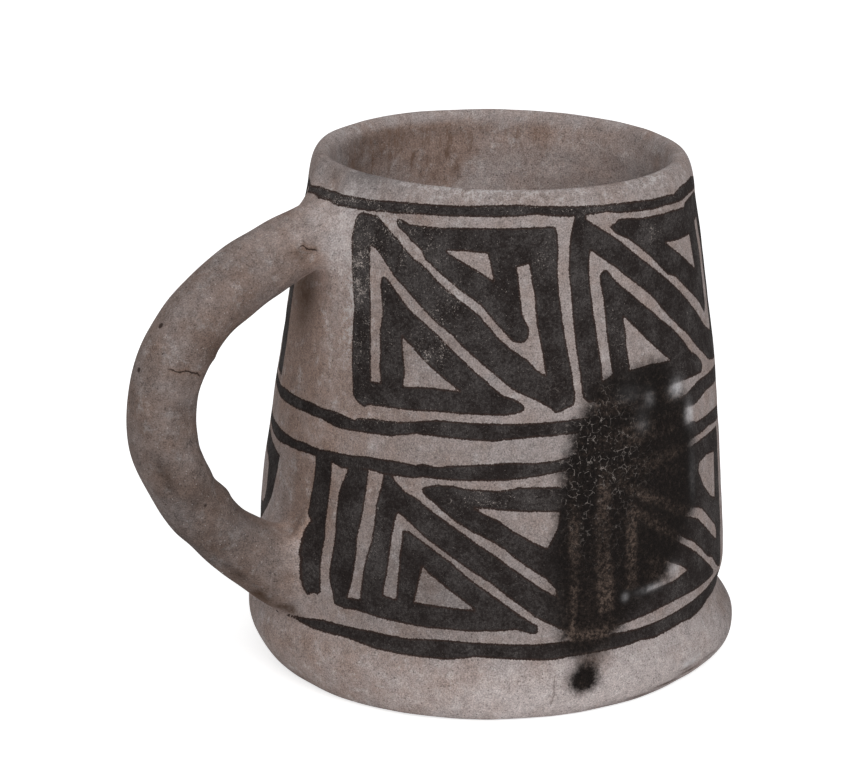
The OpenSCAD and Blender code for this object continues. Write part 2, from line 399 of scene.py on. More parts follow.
def from_roll(points):
    """How far points of the upright frame lie outside the roll, by their nearest place along the bow."""
    flat = points.reshape(-1, 3)
    t, along, side, a = at_bow(flat, -0.3, 2.3)
    return (np.hypot(side, flat[:, 1]) - roll_r(t + along / BOW_STEP, a)).reshape(points.shape[:-1])


def spread_at(points, lower):
    """How widely the worked clay rounds the join: wide at the roll's flanks, tight over and under it."""
    flank = smooth_step(2, 7, np.abs(points[..., 1]))
    z = points[..., 2]
    if lower:
        above = smooth_step(ROOT_LOW_Z - 6, ROOT_LOW_Z + 6, z)
        return 1.4 + 7.6 * above + flank * (2.0 + 2.2 * above)
    below = smooth_step(ROOT_TOP_Z + 5, ROOT_TOP_Z - 6, z)
    return 3.5 - 1.0 * below + 9.0 * flank


def blended(points, lower):
    """Smooth union of roll and wall: the lesser distance, less a cubic of how near the two are to each
    other."""
    roll, wall = from_roll(points), from_wall(points)
    k = spread_at(points, lower)
    h = np.maximum(k - np.abs(roll - wall), 0) / k
    return np.minimum(roll, wall) - h**3 * k / 6


def blended_slope(points, lower):
    """Slope of the smooth union, from its values a little to each side of the points."""
    eps = 0.05
    return np.stack([(blended(points + m, lower) - blended(points - m, lower)) / (2 * eps)
                     for m in np.eye(3) * eps], -1)


def eased(points, widest):
    """Rows of points, each averaged with as many rows on both sides as there are, up to widest."""
    row = np.arange(len(points))
    reach = np.minimum(np.minimum(row, row[::-1]), widest)
    total = np.concatenate([0 * points[:1], np.cumsum(points, 0)])
    return (total[row + reach + 1] - total[row - reach]) / (2 * reach + 1)[:, None, None]


def meeting_line(start, turn, a):
    """Where the roll's surface comes out of the wall, as places along the bow for the angles a round it: the
    stretch of 0.4 to both sides of a root, halved until it is small."""
    low, high = np.full(len(a), -0.4), np.full(len(a), 0.4)
    for _ in range(22):
        middle = (low + high) / 2
        clear = from_wall(roll_point(start + turn * middle, a)) > 0
        high, low = np.where(clear, middle, high), np.where(clear, low, middle)
    return start + turn * (low + high) / 2


def luting_sheet(lower):
    """Worked clay round a root: rows that start along the roll, turn at the join and end on the wall, each
    point then brought onto the smooth union of the two, with the edges let in a little."""
    start, turn = (2.0, -1.0) if lower else (0.0, 1.0)
    columns, rows = ((220, 96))
    a = np.arange(columns) * 360.0 / columns
    meet_t = meeting_line(start, turn, a)
    meet = roll_point(meet_t, a)
    root = bow(np.array([start]))[0][0]
    away = unit(np.stack([meet[:, 1], meet[:, 2] - root[1]], -1))
    share = np.linspace(-1, 1, rows)[:, None]
    on_roll = roll_point(meet_t + turn * LUTING_ON_ROLL / BOW_STEP * np.maximum(-share, 0), a)
    out = LUTING_ON_WALL * np.maximum(share, 0)
    y = meet[:, 1] + out * away[:, 0]
    z = np.clip(meet[:, 2] + out * away[:, 1], 3, POT_H - 0.6)
    on_wall = np.stack([-np.sqrt(np.maximum(pot_r(z) ** 2 - y * y, 1)), y, z], -1)
    points = np.where(share[..., None] < 0, on_roll, on_wall)
    points = eased(eased(points, rows // 7), rows // 9)
    sink = 0.04 + 0.1 * smooth_step(0.8, 1.0, np.abs(share))
    for _ in range(8):
        slope = blended_slope(points, lower)
        steep = np.maximum((slope**2).sum(-1), 0.2)
        points = points - slope * ((blended(points, lower) + sink) / steep)[..., None]
    return points, unit(blended_slope(points, lower))


def handle_sheet():
    """The roll from inside one root to inside the other, kept from coming out of the wall's other face."""
    columns, rows = ((128, 300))
    t = np.linspace(-0.09, 2.09, rows)[:, None]
    points = roll_point(t, np.arange(columns) * 360.0 / columns)
    past = np.maximum(0, -ROLL_IN_WALL - from_wall(points))
    points[..., :2] *= (1 + past / np.hypot(points[..., 0], points[..., 1]))[..., None]
    return points, grid_normals(points)


# The painted pattern, as (degrees round from the handle, millimetres up). Lines give a top and a bottom edge
RIM_LINE = (
    [(-24, 99.6), (-7, 100.5), (2, 100.8), (8, 101.1), (15, 101.2), (20, 101.3), (30, 101.9), (40, 102.2),
     (50, 102.5), (60, 102.9), (65, 103), (70, 102.8), (80, 102.4), (90, 102.1), (100, 101.9),
     (110, 101.5), (119, 101.3), (121.5, 101), (126, 101.8), (140, 102), (145, 101.2), (150, 100.3),
     (200, 101.4), (250, 102.2), (300, 100.4)],
    [(-24, 98), (-7, 99), (2, 99.1), (8, 98.9), (15, 98.8), (20, 98.9), (25, 99.3), (30, 99.5),
     (35, 99.9), (45, 100.1), (50, 100.4), (60, 100.5), (70, 101), (75, 100.6), (80, 100.3), (92, 100.5),
     (96, 100), (105, 99.6), (110, 99.3), (115, 99.4), (125, 99), (135, 99.3), (145, 98.8), (150, 97.8),
     (200, 99), (250, 99.7), (300, 98)])
UPPER_LINE = (
    [(-16, 57.5), (-12, 58), (0, 58.2), (5, 58.5), (10, 58.3), (15, 58.6), (22, 58.1), (22.7, 58.6),
     (28, 59.2), (35, 59.4), (40, 60.1), (45, 60.8), (65, 60.8), (75, 61), (81, 61.2), (118, 61.3),
     (122, 62.3), (126, 62.8), (138, 62.5), (143, 62.4), (148, 61.8), (152, 60.7), (190, 61.3),
     (240, 60.4), (290, 60)],
    [(-15, 55.3), (-5, 55.6), (0, 55.8), (10, 56), (15, 55.5), (18, 55.5), (25, 56), (33, 56.3),
     (36, 56.9), (40, 57.5), (60, 57.2), (63, 57.6), (70, 58), (78, 58.2), (118, 58.6), (122, 58.4),
     (126, 59), (130, 59.6), (140, 59.3), (147, 58.6), (152, 57.8), (190, 58.3), (240, 57.6), (290, 57.2)])
LOWER_LINE = (
    [(-22, 49.7), (-10, 49.8), (0, 49.6), (3, 50), (10, 50), (14, 50.5), (22, 50.9), (26, 51.5),
     (35, 51.7), (40, 51.5), (42, 51.9), (46, 51.7), (50, 52.2), (55, 52.6), (63, 53.2), (70, 53),
     (75, 53.3), (78, 53.8), (120, 55.5), (122, 54.9), (135, 54.8), (140, 54.2), (145, 53.5), (150, 52.5),
     (200, 53.4), (250, 52.6), (300, 51)],
    [(-22, 47.5), (-15, 47), (-10, 47), (-5, 47.4), (0, 47.7), (8, 48.2), (15.5, 48.3), (19, 47.7),
     (27.5, 48.8), (31.5, 48.6), (40, 48.8), (42, 49.2), (50, 49.2), (60, 49.5), (66, 49.8), (70, 50.2),
     (76, 50.9), (110, 52), (123, 52), (130, 52.3), (137, 51.6), (142, 51.2), (150, 50.2), (200, 50.6),
     (250, 49.6), (300, 48.6)])
BASE_LINE = (
    [(-3, 12.9), (-1.5, 13.5), (3, 14), (8, 14.6), (13, 15.4), (16, 15.9), (24, 16.3), (31, 16.6),
     (40, 16.4), (48, 16.9), (60, 16.8), (70, 16.5), (78, 16.7), (91, 17), (97, 16.9), (104, 17.3),
     (112, 18), (120, 18.6), (125, 18.8), (130, 19.2), (134, 19.6), (150, 19), (200, 17.4), (250, 17),
     (300, 17.2), (340, 15.6), (346, 13.6), (348, 12.5)],
    [(-3, 13.3), (-1.5, 13.1), (3, 13.6), (6, 13.8), (13, 13.5), (25, 13.9), (33, 13.3), (40, 13.1),
     (50, 13.1), (57, 14), (65, 13.6), (74, 13.2), (80, 13.7), (92, 13.9), (98, 14.3), (102, 14),
     (106, 14.5), (112, 15), (116, 14.7), (124, 15.2), (128, 15.8), (136, 15.9), (150, 15.6), (200, 14),
     (250, 13.7), (300, 14), (340, 13), (346, 12.8), (348, 12.9)])

# A fret of the upper band, one unbroken outline from its left bar's top, down and round
UPPER_FRET = [
    (15.1, 97), (14.8, 95), (14.8, 93), (15.2, 89), (15.2, 87.5), (15.8, 85), (16.5, 82.5), (17.5, 80),
    (18, 75), (18.7, 71), (19.3, 68), (20, 65), (20.5, 62.8), (22, 61.7), (24.5, 61), (26, 61.6),
    (30, 61.8), (35, 61.9), (40, 62), (44, 62.3), (53, 62.3), (62, 62.3), (65, 62.7), (66.5, 63),
    (67.2, 63.7), (66.8, 64.5), (65.5, 65.2), (64, 65.8), (62, 66.2), (60, 67.2), (58, 68.6), (54, 70.9),
    (50, 73.5), (46, 76), (44, 77.3), (40.5, 79.2), (37, 80.8), (34, 82.5), (31, 84.7), (28.5, 86.3),
    (27.5, 86.8), (26.5, 87), (25.8, 86.8), (25.6, 85.3), (26, 84), (27.2, 80.5), (27.3, 78.5),
    (27.1, 76.5), (28, 72.5), (28, 70), (29, 66.5), (26, 66.5), (26, 67.5), (25.5, 69.5), (24.9, 73.5),
    (24, 77.5), (23.2, 81), (22.2, 85), (21.3, 90), (21, 92.3), (23, 91.8), (24.5, 91), (27, 89.3),
    (30, 87.2), (33, 85.7), (36, 83.9), (40, 81.5), (44, 79.2), (48, 77.3), (50, 75.7), (54, 73.3),
    (58, 71), (62, 68.5), (64, 67.3), (66, 66.6), (70, 65.2), (72, 64.3), (73.8, 63.5), (75, 62.5),
    (76, 62.7), (78.5, 63.4), (80, 63.8), (80.4, 64.5), (80.5, 66.5), (80.1, 68), (79.3, 72), (78.3, 76),
    (77.5, 80), (76.8, 84), (76.5, 86), (76.2, 90), (76.5, 95), (76.3, 97), (75.8, 98.3), (75, 98.8),
    (70, 98.7), (60, 98.5), (50, 98.3), (44, 97.9), (33, 97.8), (30.5, 98.6), (28.8, 98.3), (29, 97.6),
    (29.5, 96.8), (31, 96.2), (33, 95.3), (34, 94.6), (36, 93.8), (37.5, 93), (38.3, 92), (39, 91.2),
    (40.5, 90.7), (42, 89.8), (44, 88.8), (50, 85.9), (52, 85), (55, 83.6), (57, 82), (60, 79.6),
    (62, 78), (64, 76.6), (66, 76.3), (67, 76.5), (68, 77.3), (68.3, 78.3), (68, 79.5), (67.3, 80.5),
    (66.4, 82), (66, 84), (65.6, 87), (65.3, 89), (64.8, 91), (68, 91.5), (68.5, 90), (68.9, 88),
    (69.7, 85), (69.8, 83), (70.3, 79.5), (71.1, 76.5), (71.9, 73.5), (72.1, 72), (72.6, 70.1),
    (71.5, 70.5), (70, 71.4), (68, 73), (66, 74.1), (64, 75), (62, 76.3), (60, 77.5), (57, 80),
    (55, 81.6), (52, 83.2), (50, 84.1), (45, 86.6), (44, 87.1), (42, 88.3), (40, 89.5), (38, 90.5),
    (36, 91.2), (34, 92.2), (32, 93.2), (30.5, 94.3), (28.5, 95.3), (26, 96.5), (24, 97.6), (22.5, 98.4),
    (17, 98.5), (15.6, 98)]
UPPER_FRET_BARE = [
    [(34.1, 76), (35, 72.5), (35.8, 69.5), (35.6, 66.6), (43, 67), (50.5, 66.7), (48, 68), (44, 70),
     (40, 72.4), (36, 75)],
    [(45, 93.5), (50, 93.7), (56.5, 93.5), (57.2, 92), (58.4, 88.3), (56, 89.4), (54, 90.3), (50, 91.6),
     (46, 93)]]

# The next fret of the upper band, whose left bar runs up into the rim line
NEXT_FRET = [
    (85, 101), (81.2, 101), (81.2, 100), (80.6, 98.5), (79.9, 96), (79.4, 92), (79.3, 90), (79.9, 85),
    (80.3, 79), (81, 74), (81.8, 70), (82.4, 66), (82.7, 65), (84, 64.1), (95, 64), (112, 64.2),
    (120, 64.2), (128, 63.8), (129, 64.2), (129.3, 65.3), (128.5, 66.2), (127, 67.3), (125, 68.3),
    (123, 69), (121.5, 70), (120, 71.3), (118, 72.8), (114, 75.5), (110, 77.6), (106, 80), (102, 82.2),
    (98.5, 84.4), (95.5, 86), (93, 87.8), (92, 88.8), (91, 89.5), (90, 89.5), (88.7, 88.5), (88.7, 87),
    (89.5, 84), (89.8, 80), (90.1, 76), (90.7, 72), (91.3, 69), (88.3, 68), (88.2, 71), (87.6, 74),
    (87, 78), (86.3, 82), (85.8, 86), (85.5, 90), (85.8, 92), (86.2, 93.5), (90, 91.6), (94, 89.6),
    (98, 87.3), (102, 85.2), (106, 83), (108, 81.7), (110, 80), (114, 77.3), (118, 74.7), (122, 72.6),
    (124, 71), (128, 68.6), (132, 66.7), (134, 65.5), (136, 64.8), (139, 64.2), (143, 63.8), (148, 62.9),
    (151, 63.2), (151, 66.5), (150.4, 72), (149.5, 79), (148.8, 86), (148.8, 92), (149, 96), (148, 97.2),
    (142, 98.5), (138, 98.7), (129, 98.3), (128, 97.6), (120, 98), (105, 98.3), (99, 98.9), (95.7, 98.9),
    (94.5, 98.2), (92.3, 97.8), (93.5, 97), (95, 96), (99, 94.7), (103, 92.7), (107, 90.5), (111, 88),
    (114, 86), (118, 85), (122, 82.6), (126, 80.6), (130, 78.6), (134, 76), (136, 74.6), (137, 75),
    (138, 76), (137.8, 80), (137.3, 86), (137.3, 93.3), (140.5, 93.5), (140.6, 86), (141.2, 80),
    (141.5, 76), (141.7, 73), (141, 71), (140, 70.3), (136, 71.8), (132, 74.1), (128, 76.8), (124, 79.3),
    (120, 81.8), (116, 84), (112, 86.2), (108, 88.2), (104, 90.3), (100, 92.4), (96.5, 94.5), (93, 96.2),
    (90, 97.5), (86.5, 99), (85, 99.8)]
NEXT_FRET_BARE = [
    [(95.7, 79.8), (96.3, 76), (96.2, 74.5), (97, 70), (96.8, 69.3), (104, 69.6), (112, 69.2),
     (110, 70.3), (106, 72.8), (102, 75.5), (98, 78.4)],
    [(114.5, 92.2), (122, 91.8), (129.5, 91.8), (130, 89), (130.8, 84.8), (128, 86), (124, 88),
     (120, 89.8), (116, 91.7)]]

# A fret of the lower band: a lone bar, the bars and diagonal to its right, and the hook over the diagonal
LOWER_BAR = [
    (9, 49), (9.3, 44), (9, 40), (9.6, 36.8), (10.6, 35.4), (9.8, 34.3), (9.2, 33), (9.1, 30.5),
    (9.3, 28.3), (9.7, 27.5), (10, 26), (10.1, 23.3), (10.2, 21), (10.6, 20.2), (11, 19.9), (12, 20.4),
    (13, 20.7), (14, 20.5), (15.1, 21.3), (14.8, 27), (14.8, 29), (15.3, 33), (15, 35), (15.5, 41),
    (15.8, 44), (15.5, 49)]
LOWER_FRET = [
    (20.8, 49), (20.8, 47.3), (19.5, 45), (18.6, 42.5), (18.4, 38), (18.6, 34), (18, 30), (17.5, 27),
    (17.5, 25.5), (17.8, 24), (19, 22), (19.5, 20), (22, 19.6), (27, 20), (33, 19.6), (40, 19.2),
    (45, 19), (55, 19), (63, 19.3), (65.5, 19.6), (67.5, 19.1), (69, 18.7), (70.3, 18.5), (71, 18.9),
    (71, 20.2), (70, 20.8), (66, 23.1), (62, 25.6), (58, 27.9), (54, 30.2), (50, 32.9), (46, 35),
    (42, 37), (39.5, 38.2), (37.6, 38.2), (37.8, 37), (37.3, 33), (37.4, 31), (37.1, 27), (37, 24),
    (33.9, 24.5), (33.9, 26), (34.5, 29), (34.9, 32.5), (35.2, 36.5), (35.8, 39.5), (36.3, 41.5),
    (38, 40.7), (42, 38.3), (44, 37), (48, 35), (52, 32.8), (56, 30.7), (60, 28.8), (64, 26.1),
    (68, 23.6), (70, 22.2), (74, 20.3), (77, 18.9), (79, 19), (79, 23), (76.5, 25.6), (73.5, 27),
    (72, 27.8), (68, 30.2), (64, 32.6), (60, 35), (56, 37), (52, 39.3), (48, 41.3), (44, 43.4),
    (42, 44.6), (40, 45.4), (38, 46), (36, 47.2), (34.3, 48.5), (34.3, 49), (31.8, 49), (31, 45),
    (30.2, 42), (30.3, 40.5), (29.7, 35), (28.8, 32), (28, 29), (27.5, 25), (27.3, 22.5), (23.7, 22.2),
    (24.8, 25.5), (25.4, 28.5), (25.7, 32.5), (25.6, 34.5), (26.8, 40.5), (27.2, 44.5), (27.5, 49)]
LOWER_FRET_BARE = [
    [(43.3, 31.3), (42.5, 28), (41.6, 24), (47.5, 23.8), (56, 23.5), (53, 25.4), (49, 27.6), (45, 30)]]
LOWER_HOOK = [
    (42, 46.7), (43, 45.6), (45, 44.6), (48, 42.7), (51, 40.9), (55, 39.1), (59, 37.6), (63, 35.7),
    (65, 34.2), (69, 31.8), (73, 29.5), (75, 27.5), (76, 24), (76, 20), (79.5, 20), (79, 27), (78.6, 34),
    (78.6, 44), (79, 48), (66, 48.3), (61, 47.6), (53, 47.8), (50, 48.2), (46, 48.2), (43, 47.5)]
LOWER_HOOK_BARE = [
    [(55.5, 44), (60, 43.8), (66, 43.4), (76, 43), (75.5, 40), (73, 36), (69, 37.6), (65, 39.5),
     (61, 41.8), (57, 43.2)]]

# The fret under and beside the fire cloud
CLOUD_FRET = [
    (79.5, 52), (79.8, 48), (80.8, 44), (80.8, 34), (80.2, 27), (79.5, 20), (80, 18), (91, 18.3),
    (98, 19), (106, 19.9), (113, 20.3), (131, 20.5), (131, 21.3), (128, 23.2), (124, 25.5), (120, 28),
    (115.5, 30.3), (110, 33), (106, 35), (102, 37.2), (98, 39.3), (96.8, 37), (96.5, 33), (97, 29),
    (97, 25.5), (94, 25.5), (94, 30), (94.3, 36), (94.8, 40), (95.5, 42.5), (100, 40.3), (104, 38),
    (108, 35.8), (112, 33.5), (115, 31.8), (117.5, 31), (122, 28.3), (126, 25.6), (129.5, 24.4),
    (133, 22), (135, 21), (137.5, 20.3), (138.5, 22), (138.3, 30), (138, 42), (138, 50.6), (132, 50.9),
    (123.5, 50.9), (115, 50.4), (108, 49.8), (101, 48.6), (94, 48.3), (96, 46.6), (100, 44.6), (105, 43),
    (111, 40), (117, 38.2), (121.5, 37), (123.5, 36.3), (128, 33.2), (132, 30.7), (133, 29),
    (132.5, 27.8), (129, 29.7), (125, 32.3), (121, 35), (117, 36.2), (111, 38), (105, 41), (100, 42.6),
    (95, 45.2), (92, 46.8), (91, 48.3), (91, 52), (90.5, 52), (90.3, 48.5), (89.7, 45), (88.9, 42),
    (89, 40.5), (89.2, 35), (89.4, 32), (89.8, 29), (90, 25), (90, 22.4), (86.3, 22.2), (86.2, 25.5),
    (86, 28.5), (85.8, 32.5), (85.5, 34.5), (85.6, 40.5), (85.9, 44.5), (86.2, 52)]
CLOUD_FRET_BARE = [
    [(122.5, 46.3), (127, 46.8), (133, 46.2), (133, 41), (132.8, 36.5), (129, 38), (125, 41), (122, 44.5)],
    [(101, 31), (100.5, 28), (100.3, 24.2), (106.5, 24.4), (110, 24.6), (114.8, 25.6), (112, 27),
     (108.7, 28.3), (104, 30.6)]]

# The end of the last lower fret, on the handle's far side
LAST_HOOK = [
    (-51, 46.7), (-40, 47.4), (-28, 47), (-20, 46), (-15, 45.3), (-8.3, 44.5), (-8.7, 41.5), (-9.5, 39),
    (-11, 35), (-13, 33), (-15, 31.5), (-20, 28.5), (-24, 26.3), (-29.4, 30.3), (-35, 35), (-41, 39.5),
    (-46.6, 43.6), (-51, 46.2)]
LAST_HOOK_BARE = [
    [(-17.5, 40.5), (-16.8, 38), (-17, 35.5), (-18, 33), (-20, 31.5), (-23, 31.2), (-26, 32.8),
     (-30, 35.8), (-34, 39.2), (-36, 41.5), (-31, 42.5), (-25, 42.2), (-20, 41.5)]]

# The right bar of the last upper fret runs down into the line under it
FAR_STROKE = [(-17.2, 92), (-17, 80), (-17.2, 68), (-17.6, 59), (-26, 59), (-26.5, 92)]

# The outlines of one fret of each band with their bare places, and where it starts and ends
UPPER_PARTS = [(UPPER_FRET, UPPER_FRET_BARE)]
UPPER_SPAN = (14.8, 80.5)
LOWER_PARTS = [(LOWER_BAR, []), (LOWER_FRET, LOWER_FRET_BARE), (LOWER_HOOK, LOWER_HOOK_BARE)]
LOWER_SPAN = (5.7, 79.5)

# Where each further fret of a band starts and ends, round the back. The last lower one has its own end
UPPER_PLACES = [(154, 216), (219, 281), (284, 343)]
LOWER_PLACES = [(143.5, 209), (213, 278)]
LAST_PLACE = (283, 336)


def signed_distance(outline, around, up):
    """Distance in millimetres from points to a closed outline, below zero inside it. The inside is told by
    how often a level line from the point crosses the outline."""
    corners = np.array(outline, float) * [MM_PER_DEGREE, 1]
    nearest = np.full(around.shape, 1e9)
    inside = np.zeros(around.shape, bool)
    for (x0, y0), (x1, y1) in zip(corners, np.roll(corners, -1, 0)):
        dx, dy = x1 - x0, y1 - y0
        share = np.clip(((around - x0) * dx + (up - y0) * dy) / max(dx * dx + dy * dy, 1e-9), 0, 1)
        nearest = np.minimum(nearest, np.hypot(around - x0 - share * dx, up - y0 - share * dy))
        if y0 != y1:
            crosses = (y0 > up) != (y1 > up)
            inside ^= crosses & (around < x0 + (up - y0) * dx / dy)
    return np.where(inside, -nearest, nearest)


def moved(outline, old, new):
    """An outline whose angles are carried from one stretch of the wall to another."""
    return [(new[0] + (a - old[0]) * (new[1] - new[0]) / (old[1] - old[0]), z) for a, z in outline]


def painted_shapes():
    """Every painted outline with its bare places."""
    shapes = [*UPPER_PARTS, (NEXT_FRET, NEXT_FRET_BARE), *LOWER_PARTS, (CLOUD_FRET, CLOUD_FRET_BARE),
              (LAST_HOOK, LAST_HOOK_BARE), (FAR_STROKE, [])]
    repeats = [(UPPER_PARTS, UPPER_SPAN, UPPER_PLACES), (LOWER_PARTS, LOWER_SPAN, LOWER_PLACES),
               (LOWER_PARTS[:2], LOWER_SPAN, [LAST_PLACE])]
    for parts, span, places in repeats:
        for place in places:
            shapes += [(moved(outline, span, place), [moved(shape, span, place) for shape in bare])
                       for outline, bare in parts]
    return shapes


def edge_at(edge, angle):
    """Height of a line's edge at an angle, evenly from each of its points to the next round the pot."""
    at, up = np.array(sorted((a % 360, z) for a, z in edge)).T
    return np.interp(angle % 360, at, up, period=360)


def paint_distance(angle, z):
    """Distance in millimetres to the painted pattern's nearest edge, below zero on paint. Each outline is
    worked out only for the points within 6 degrees or millimetres of it."""
    result = np.full(z.shape, FAR)
    for top, bottom in (RIM_LINE, UPPER_LINE, LOWER_LINE, BASE_LINE):
        result = np.minimum(result, np.maximum(z - edge_at(top, angle), edge_at(bottom, angle) - z))
    for outline, bare in painted_shapes():
        low, high = np.min(outline, 0) - 6, np.max(outline, 0) + 6
        middle = (low[0] + high[0]) / 2
        near = turned(angle, middle) + middle
        chosen = (near > low[0]) & (near < high[0]) & (z > low[1]) & (z < high[1])
        if not chosen.any():
            continue
        around, up = near[chosen] * MM_PER_DEGREE, z[chosen]
        d = signed_distance(outline, around, up)
        for shape in bare:
            d = np.maximum(d, -signed_distance(shape, around, up))
        result[chosen] = np.minimum(result[chosen], d)
    return result


# The fire cloud's outline, and the blot that runs out of it
CLOUD = [
    (80, 61), (83, 64), (86, 67.5), (92, 69.5), (98, 69), (104, 70), (110, 69), (114, 66), (117, 63),
    (119, 58), (120.5, 52), (121, 46), (120.5, 41), (119, 37), (116, 34), (112.5, 31), (109.5, 28.4),
    (107.6, 25.6), (103, 23.6), (97, 22), (94, 19.5), (92, 17), (88, 14.5), (84, 13), (79, 13.8),
    (76, 17), (75, 22), (74.3, 28), (74, 34), (75, 41), (76, 46), (75.6, 51), (77.8, 55), (78.6, 58)]
BLOT = [(79.5, 13), (84.5, 13.4), (86, 11), (86.2, 7.6), (84, 5.6), (80, 5.4), (77.4, 7), (77, 10)]
CLOUD_MIDDLE = 98


def cloud_distance(angle, z):
    """Distance in millimetres to the edge of the fire cloud, below zero within. The blot's distance is drawn
    in and made steeper, so that it stays small and has a sharper edge."""
    around = (turned(angle, CLOUD_MIDDLE) + CLOUD_MIDDLE) * MM_PER_DEGREE
    return np.minimum(signed_distance(CLOUD, around, z), 1.7 * signed_distance(BLOT, around, z) + 0.9)


# Broad changes of the fired colour over the wall, each (angle, height, half width, half height, amount):
# lighter or darker, partly as painted light and shade, browner or greyer, how worn the paint is, where the
# fine net of cracks shows, where bare clay shows through the fire cloud, where the cloud's edge is pale, and
# dark dirt
# Painted light and shade among these: the foot's front lit from below, the lip shaded at left and lit at the
# back, and the hollow under the upper root and the ridges by the lower root lit
TONES_AND_PAINTED_LIGHT = [
    (85, 3, 60, 9, 0.62), (60, 6, 20, 8, 0.06), (20, 5, 30, 9, 0.13), (148, 8, 16, 8, -0.34),
    (45, 28, 24, 14, -0.36), (40, 74, 22, 14, -0.19), (0, 105.5, 22, 3, -0.18), (60, 52, 30, 6, -0.1),
    (6, 76, 18, 22, 0.3), (9, 70, 8, 14, 0.1), (5, 52, 20, 6, 0.14), (-4, 36, 12, 10, 0.24),
    (10, 30, 8, 12, 0.1), (16, 105.5, 10, 3, -0.3), (60, 106, 90, 3, -0.1), (240, 106, 90, 3, 0.12),
    (148, 50, 10, 30, -0.12), (4, 84.6, 4.5, 2.8, 0.75), (5, 97, 5, 4, 0.2), (13, 90, 4, 8, 0.12),
    (9.5, 35, 1.6, 3, 0.3), (7.5, 31, 1.5, 3, 0.3), (133, 8, 8, 5, -0.08), (13, 38, 2, 6, -0.12)]
BROWNS = [
    (5, 40, 6, 6, 0.35), (-9, 68, 7, 12, 0.8), (-22, 76, 4, 14, 0.5), (8, 60, 26, 30, 0.5),
    (25, 8, 30, 9, 0.3), (110, 5, 45, 12, -0.3), (82, 3, 45, 8, -0.3), (75, 60, 30, 40, -0.12),
    (12, 38, 4, 5, 0.4), (12, 92, 7, 8, -0.45), (16, 105, 12, 3, -0.5), (12, 46, 3, 6, 0.35)]
WEARS = [
    (17, 81, 5, 18, 1.3), (48, 84.8, 2.6, 2.8, 0.8), (43.3, 73.5, 2.4, 2.6, 0.75), (72, 92, 6, 5, 0.5),
    (95, 76, 9, 7, 0.5), (30, 33, 5, 10, 0.5), (58, 46, 12, 3, 0.7), (26, 79, 5, 14, 0.5),
    (2, 100, 12, 2, 0.9), (50, 82, 22, 18, 0.3), (35, 94, 10, 6, 0.6), (60, 104, 50, 2, 0.75),
    (115, 103, 14, 3, 0.6), (30, 60, 14, 3, 0.5), (44, 80, 5, 8, 0.4), (37, 72, 6, 4, 0.4),
    (26, 98, 6, 3, 0.6), (108, 95, 6, 3, 0.8), (85, 101, 14, 3, 0.5), (30, 100, 14, 2, 0.4),
    (12, 97, 5, 5, 0.6), (52, 105.2, 30, 0.6, 0.7), (112, 105, 12, 1, 0.6)]
NETS = [
    (86, 58, 8, 9, 1.0), (81, 49, 7, 9, 0.9), (94, 52, 8, 8, 0.7), (88, 38, 8, 9, 0.4),
    (76, 66, 8, 10, 0.3)]
GHOSTS = [
    (79.2, 38, 1.8, 5, 0.7), (87.6, 45, 1.3, 4, 0.6), (88, 25, 2.4, 7, 0.95), (95.6, 35, 1.6, 6, 0.85),
    (102, 42, 12, 6, 0.45), (80, 22, 6, 6, 0.9), (83, 30, 3, 8, 0.35), (88, 66, 4, 3, 0.9),
    (109, 48, 6, 3, 0.6), (86, 17.5, 8, 4, 1.0), (115, 63, 5, 4, 0.9), (101, 56, 6, 4, 0.35),
    (96, 32, 16, 14, 0.25)]
HALOS = [
    (114, 63.6, 2.6, 1.7, 0.9), (119, 57.4, 2, 2.4, 0.8), (118.6, 45, 1.4, 5, 0.26),
    (109.6, 26.8, 1.8, 1.4, 0.4), (101, 24.4, 4, 0.7, 0.55), (93.4, 24, 0.9, 0.8, 1.0),
    (100, 59, 2, 2, 0.16), (103, 63, 1.6, 2, 0.16), (96.5, 65, 4, 1.4, 0.14), (112.2, 6.5, 1.1, 0.6, 0.9),
    (115, 6.5, 1, 0.6, 0.8), (117.5, 7.2, 0.8, 0.4, 0.6)]
WALL_DIRT = [
    (99, 2.1, 5, 0.45, 0.8), (107, 3.2, 5, 0.5, 0.9), (115, 4.2, 5, 0.5, 0.9), (90, 1.3, 6, 0.4, 0.5),
    (113, 5.3, 2.5, 0.4, 0.7), (123, 5.2, 5, 0.45, 0.6), (83.5, 12.6, 4, 2.2, 0.8),
    (11.6, 44, 1.6, 5, 0.35), (-20, 64, 1.8, 12, 0.4)]

# The same for the inside: browner or greyer, and lighter or darker
INSIDE_BROWNS = [
    (-84, 101, 13, 7, 0.75), (-100, 97, 9, 9, 0.9), (-62, 96, 14, 12, 0.5), (-130, 101, 30, 4, 0.5)]
INSIDE_TONES = [
    (-62, 97, 16, 12, -0.3), (-120, 86, 60, 24, 0.46), (-160, 98, 30, 12, 0.3), (120, 70, 60, 40, 0.2),
    (-110, 101.6, 75, 2.2, -0.26)]

# How brown the clay is away from those places, on the pot and on the roll
POT_BROWN = 0.35
ROLL_BROWN = 0.68

# Brown shading at small places, as (x, y, z, reach, amount) of the upright pot
SPOTS = [
    (-49, -7.2, 90, 2.6, 0.6), (-46.5, -8, 88.5, 2.4, 0.5), (-42, 6, 79, 6, 0.7), (-43, 5, 72, 6, 0.5),
    (-41, -8, 83, 4, 0.2), (-48, -7, 35, 4.5, 0.6), (-46, -10, 36, 3, 0.5), (-62, -4, 42, 4, 0.3),
    (-54, -2, 17, 5, 0.5), (-66, -6, 74, 6, 0.3), (-47, -7, 94, 6, -0.25)]
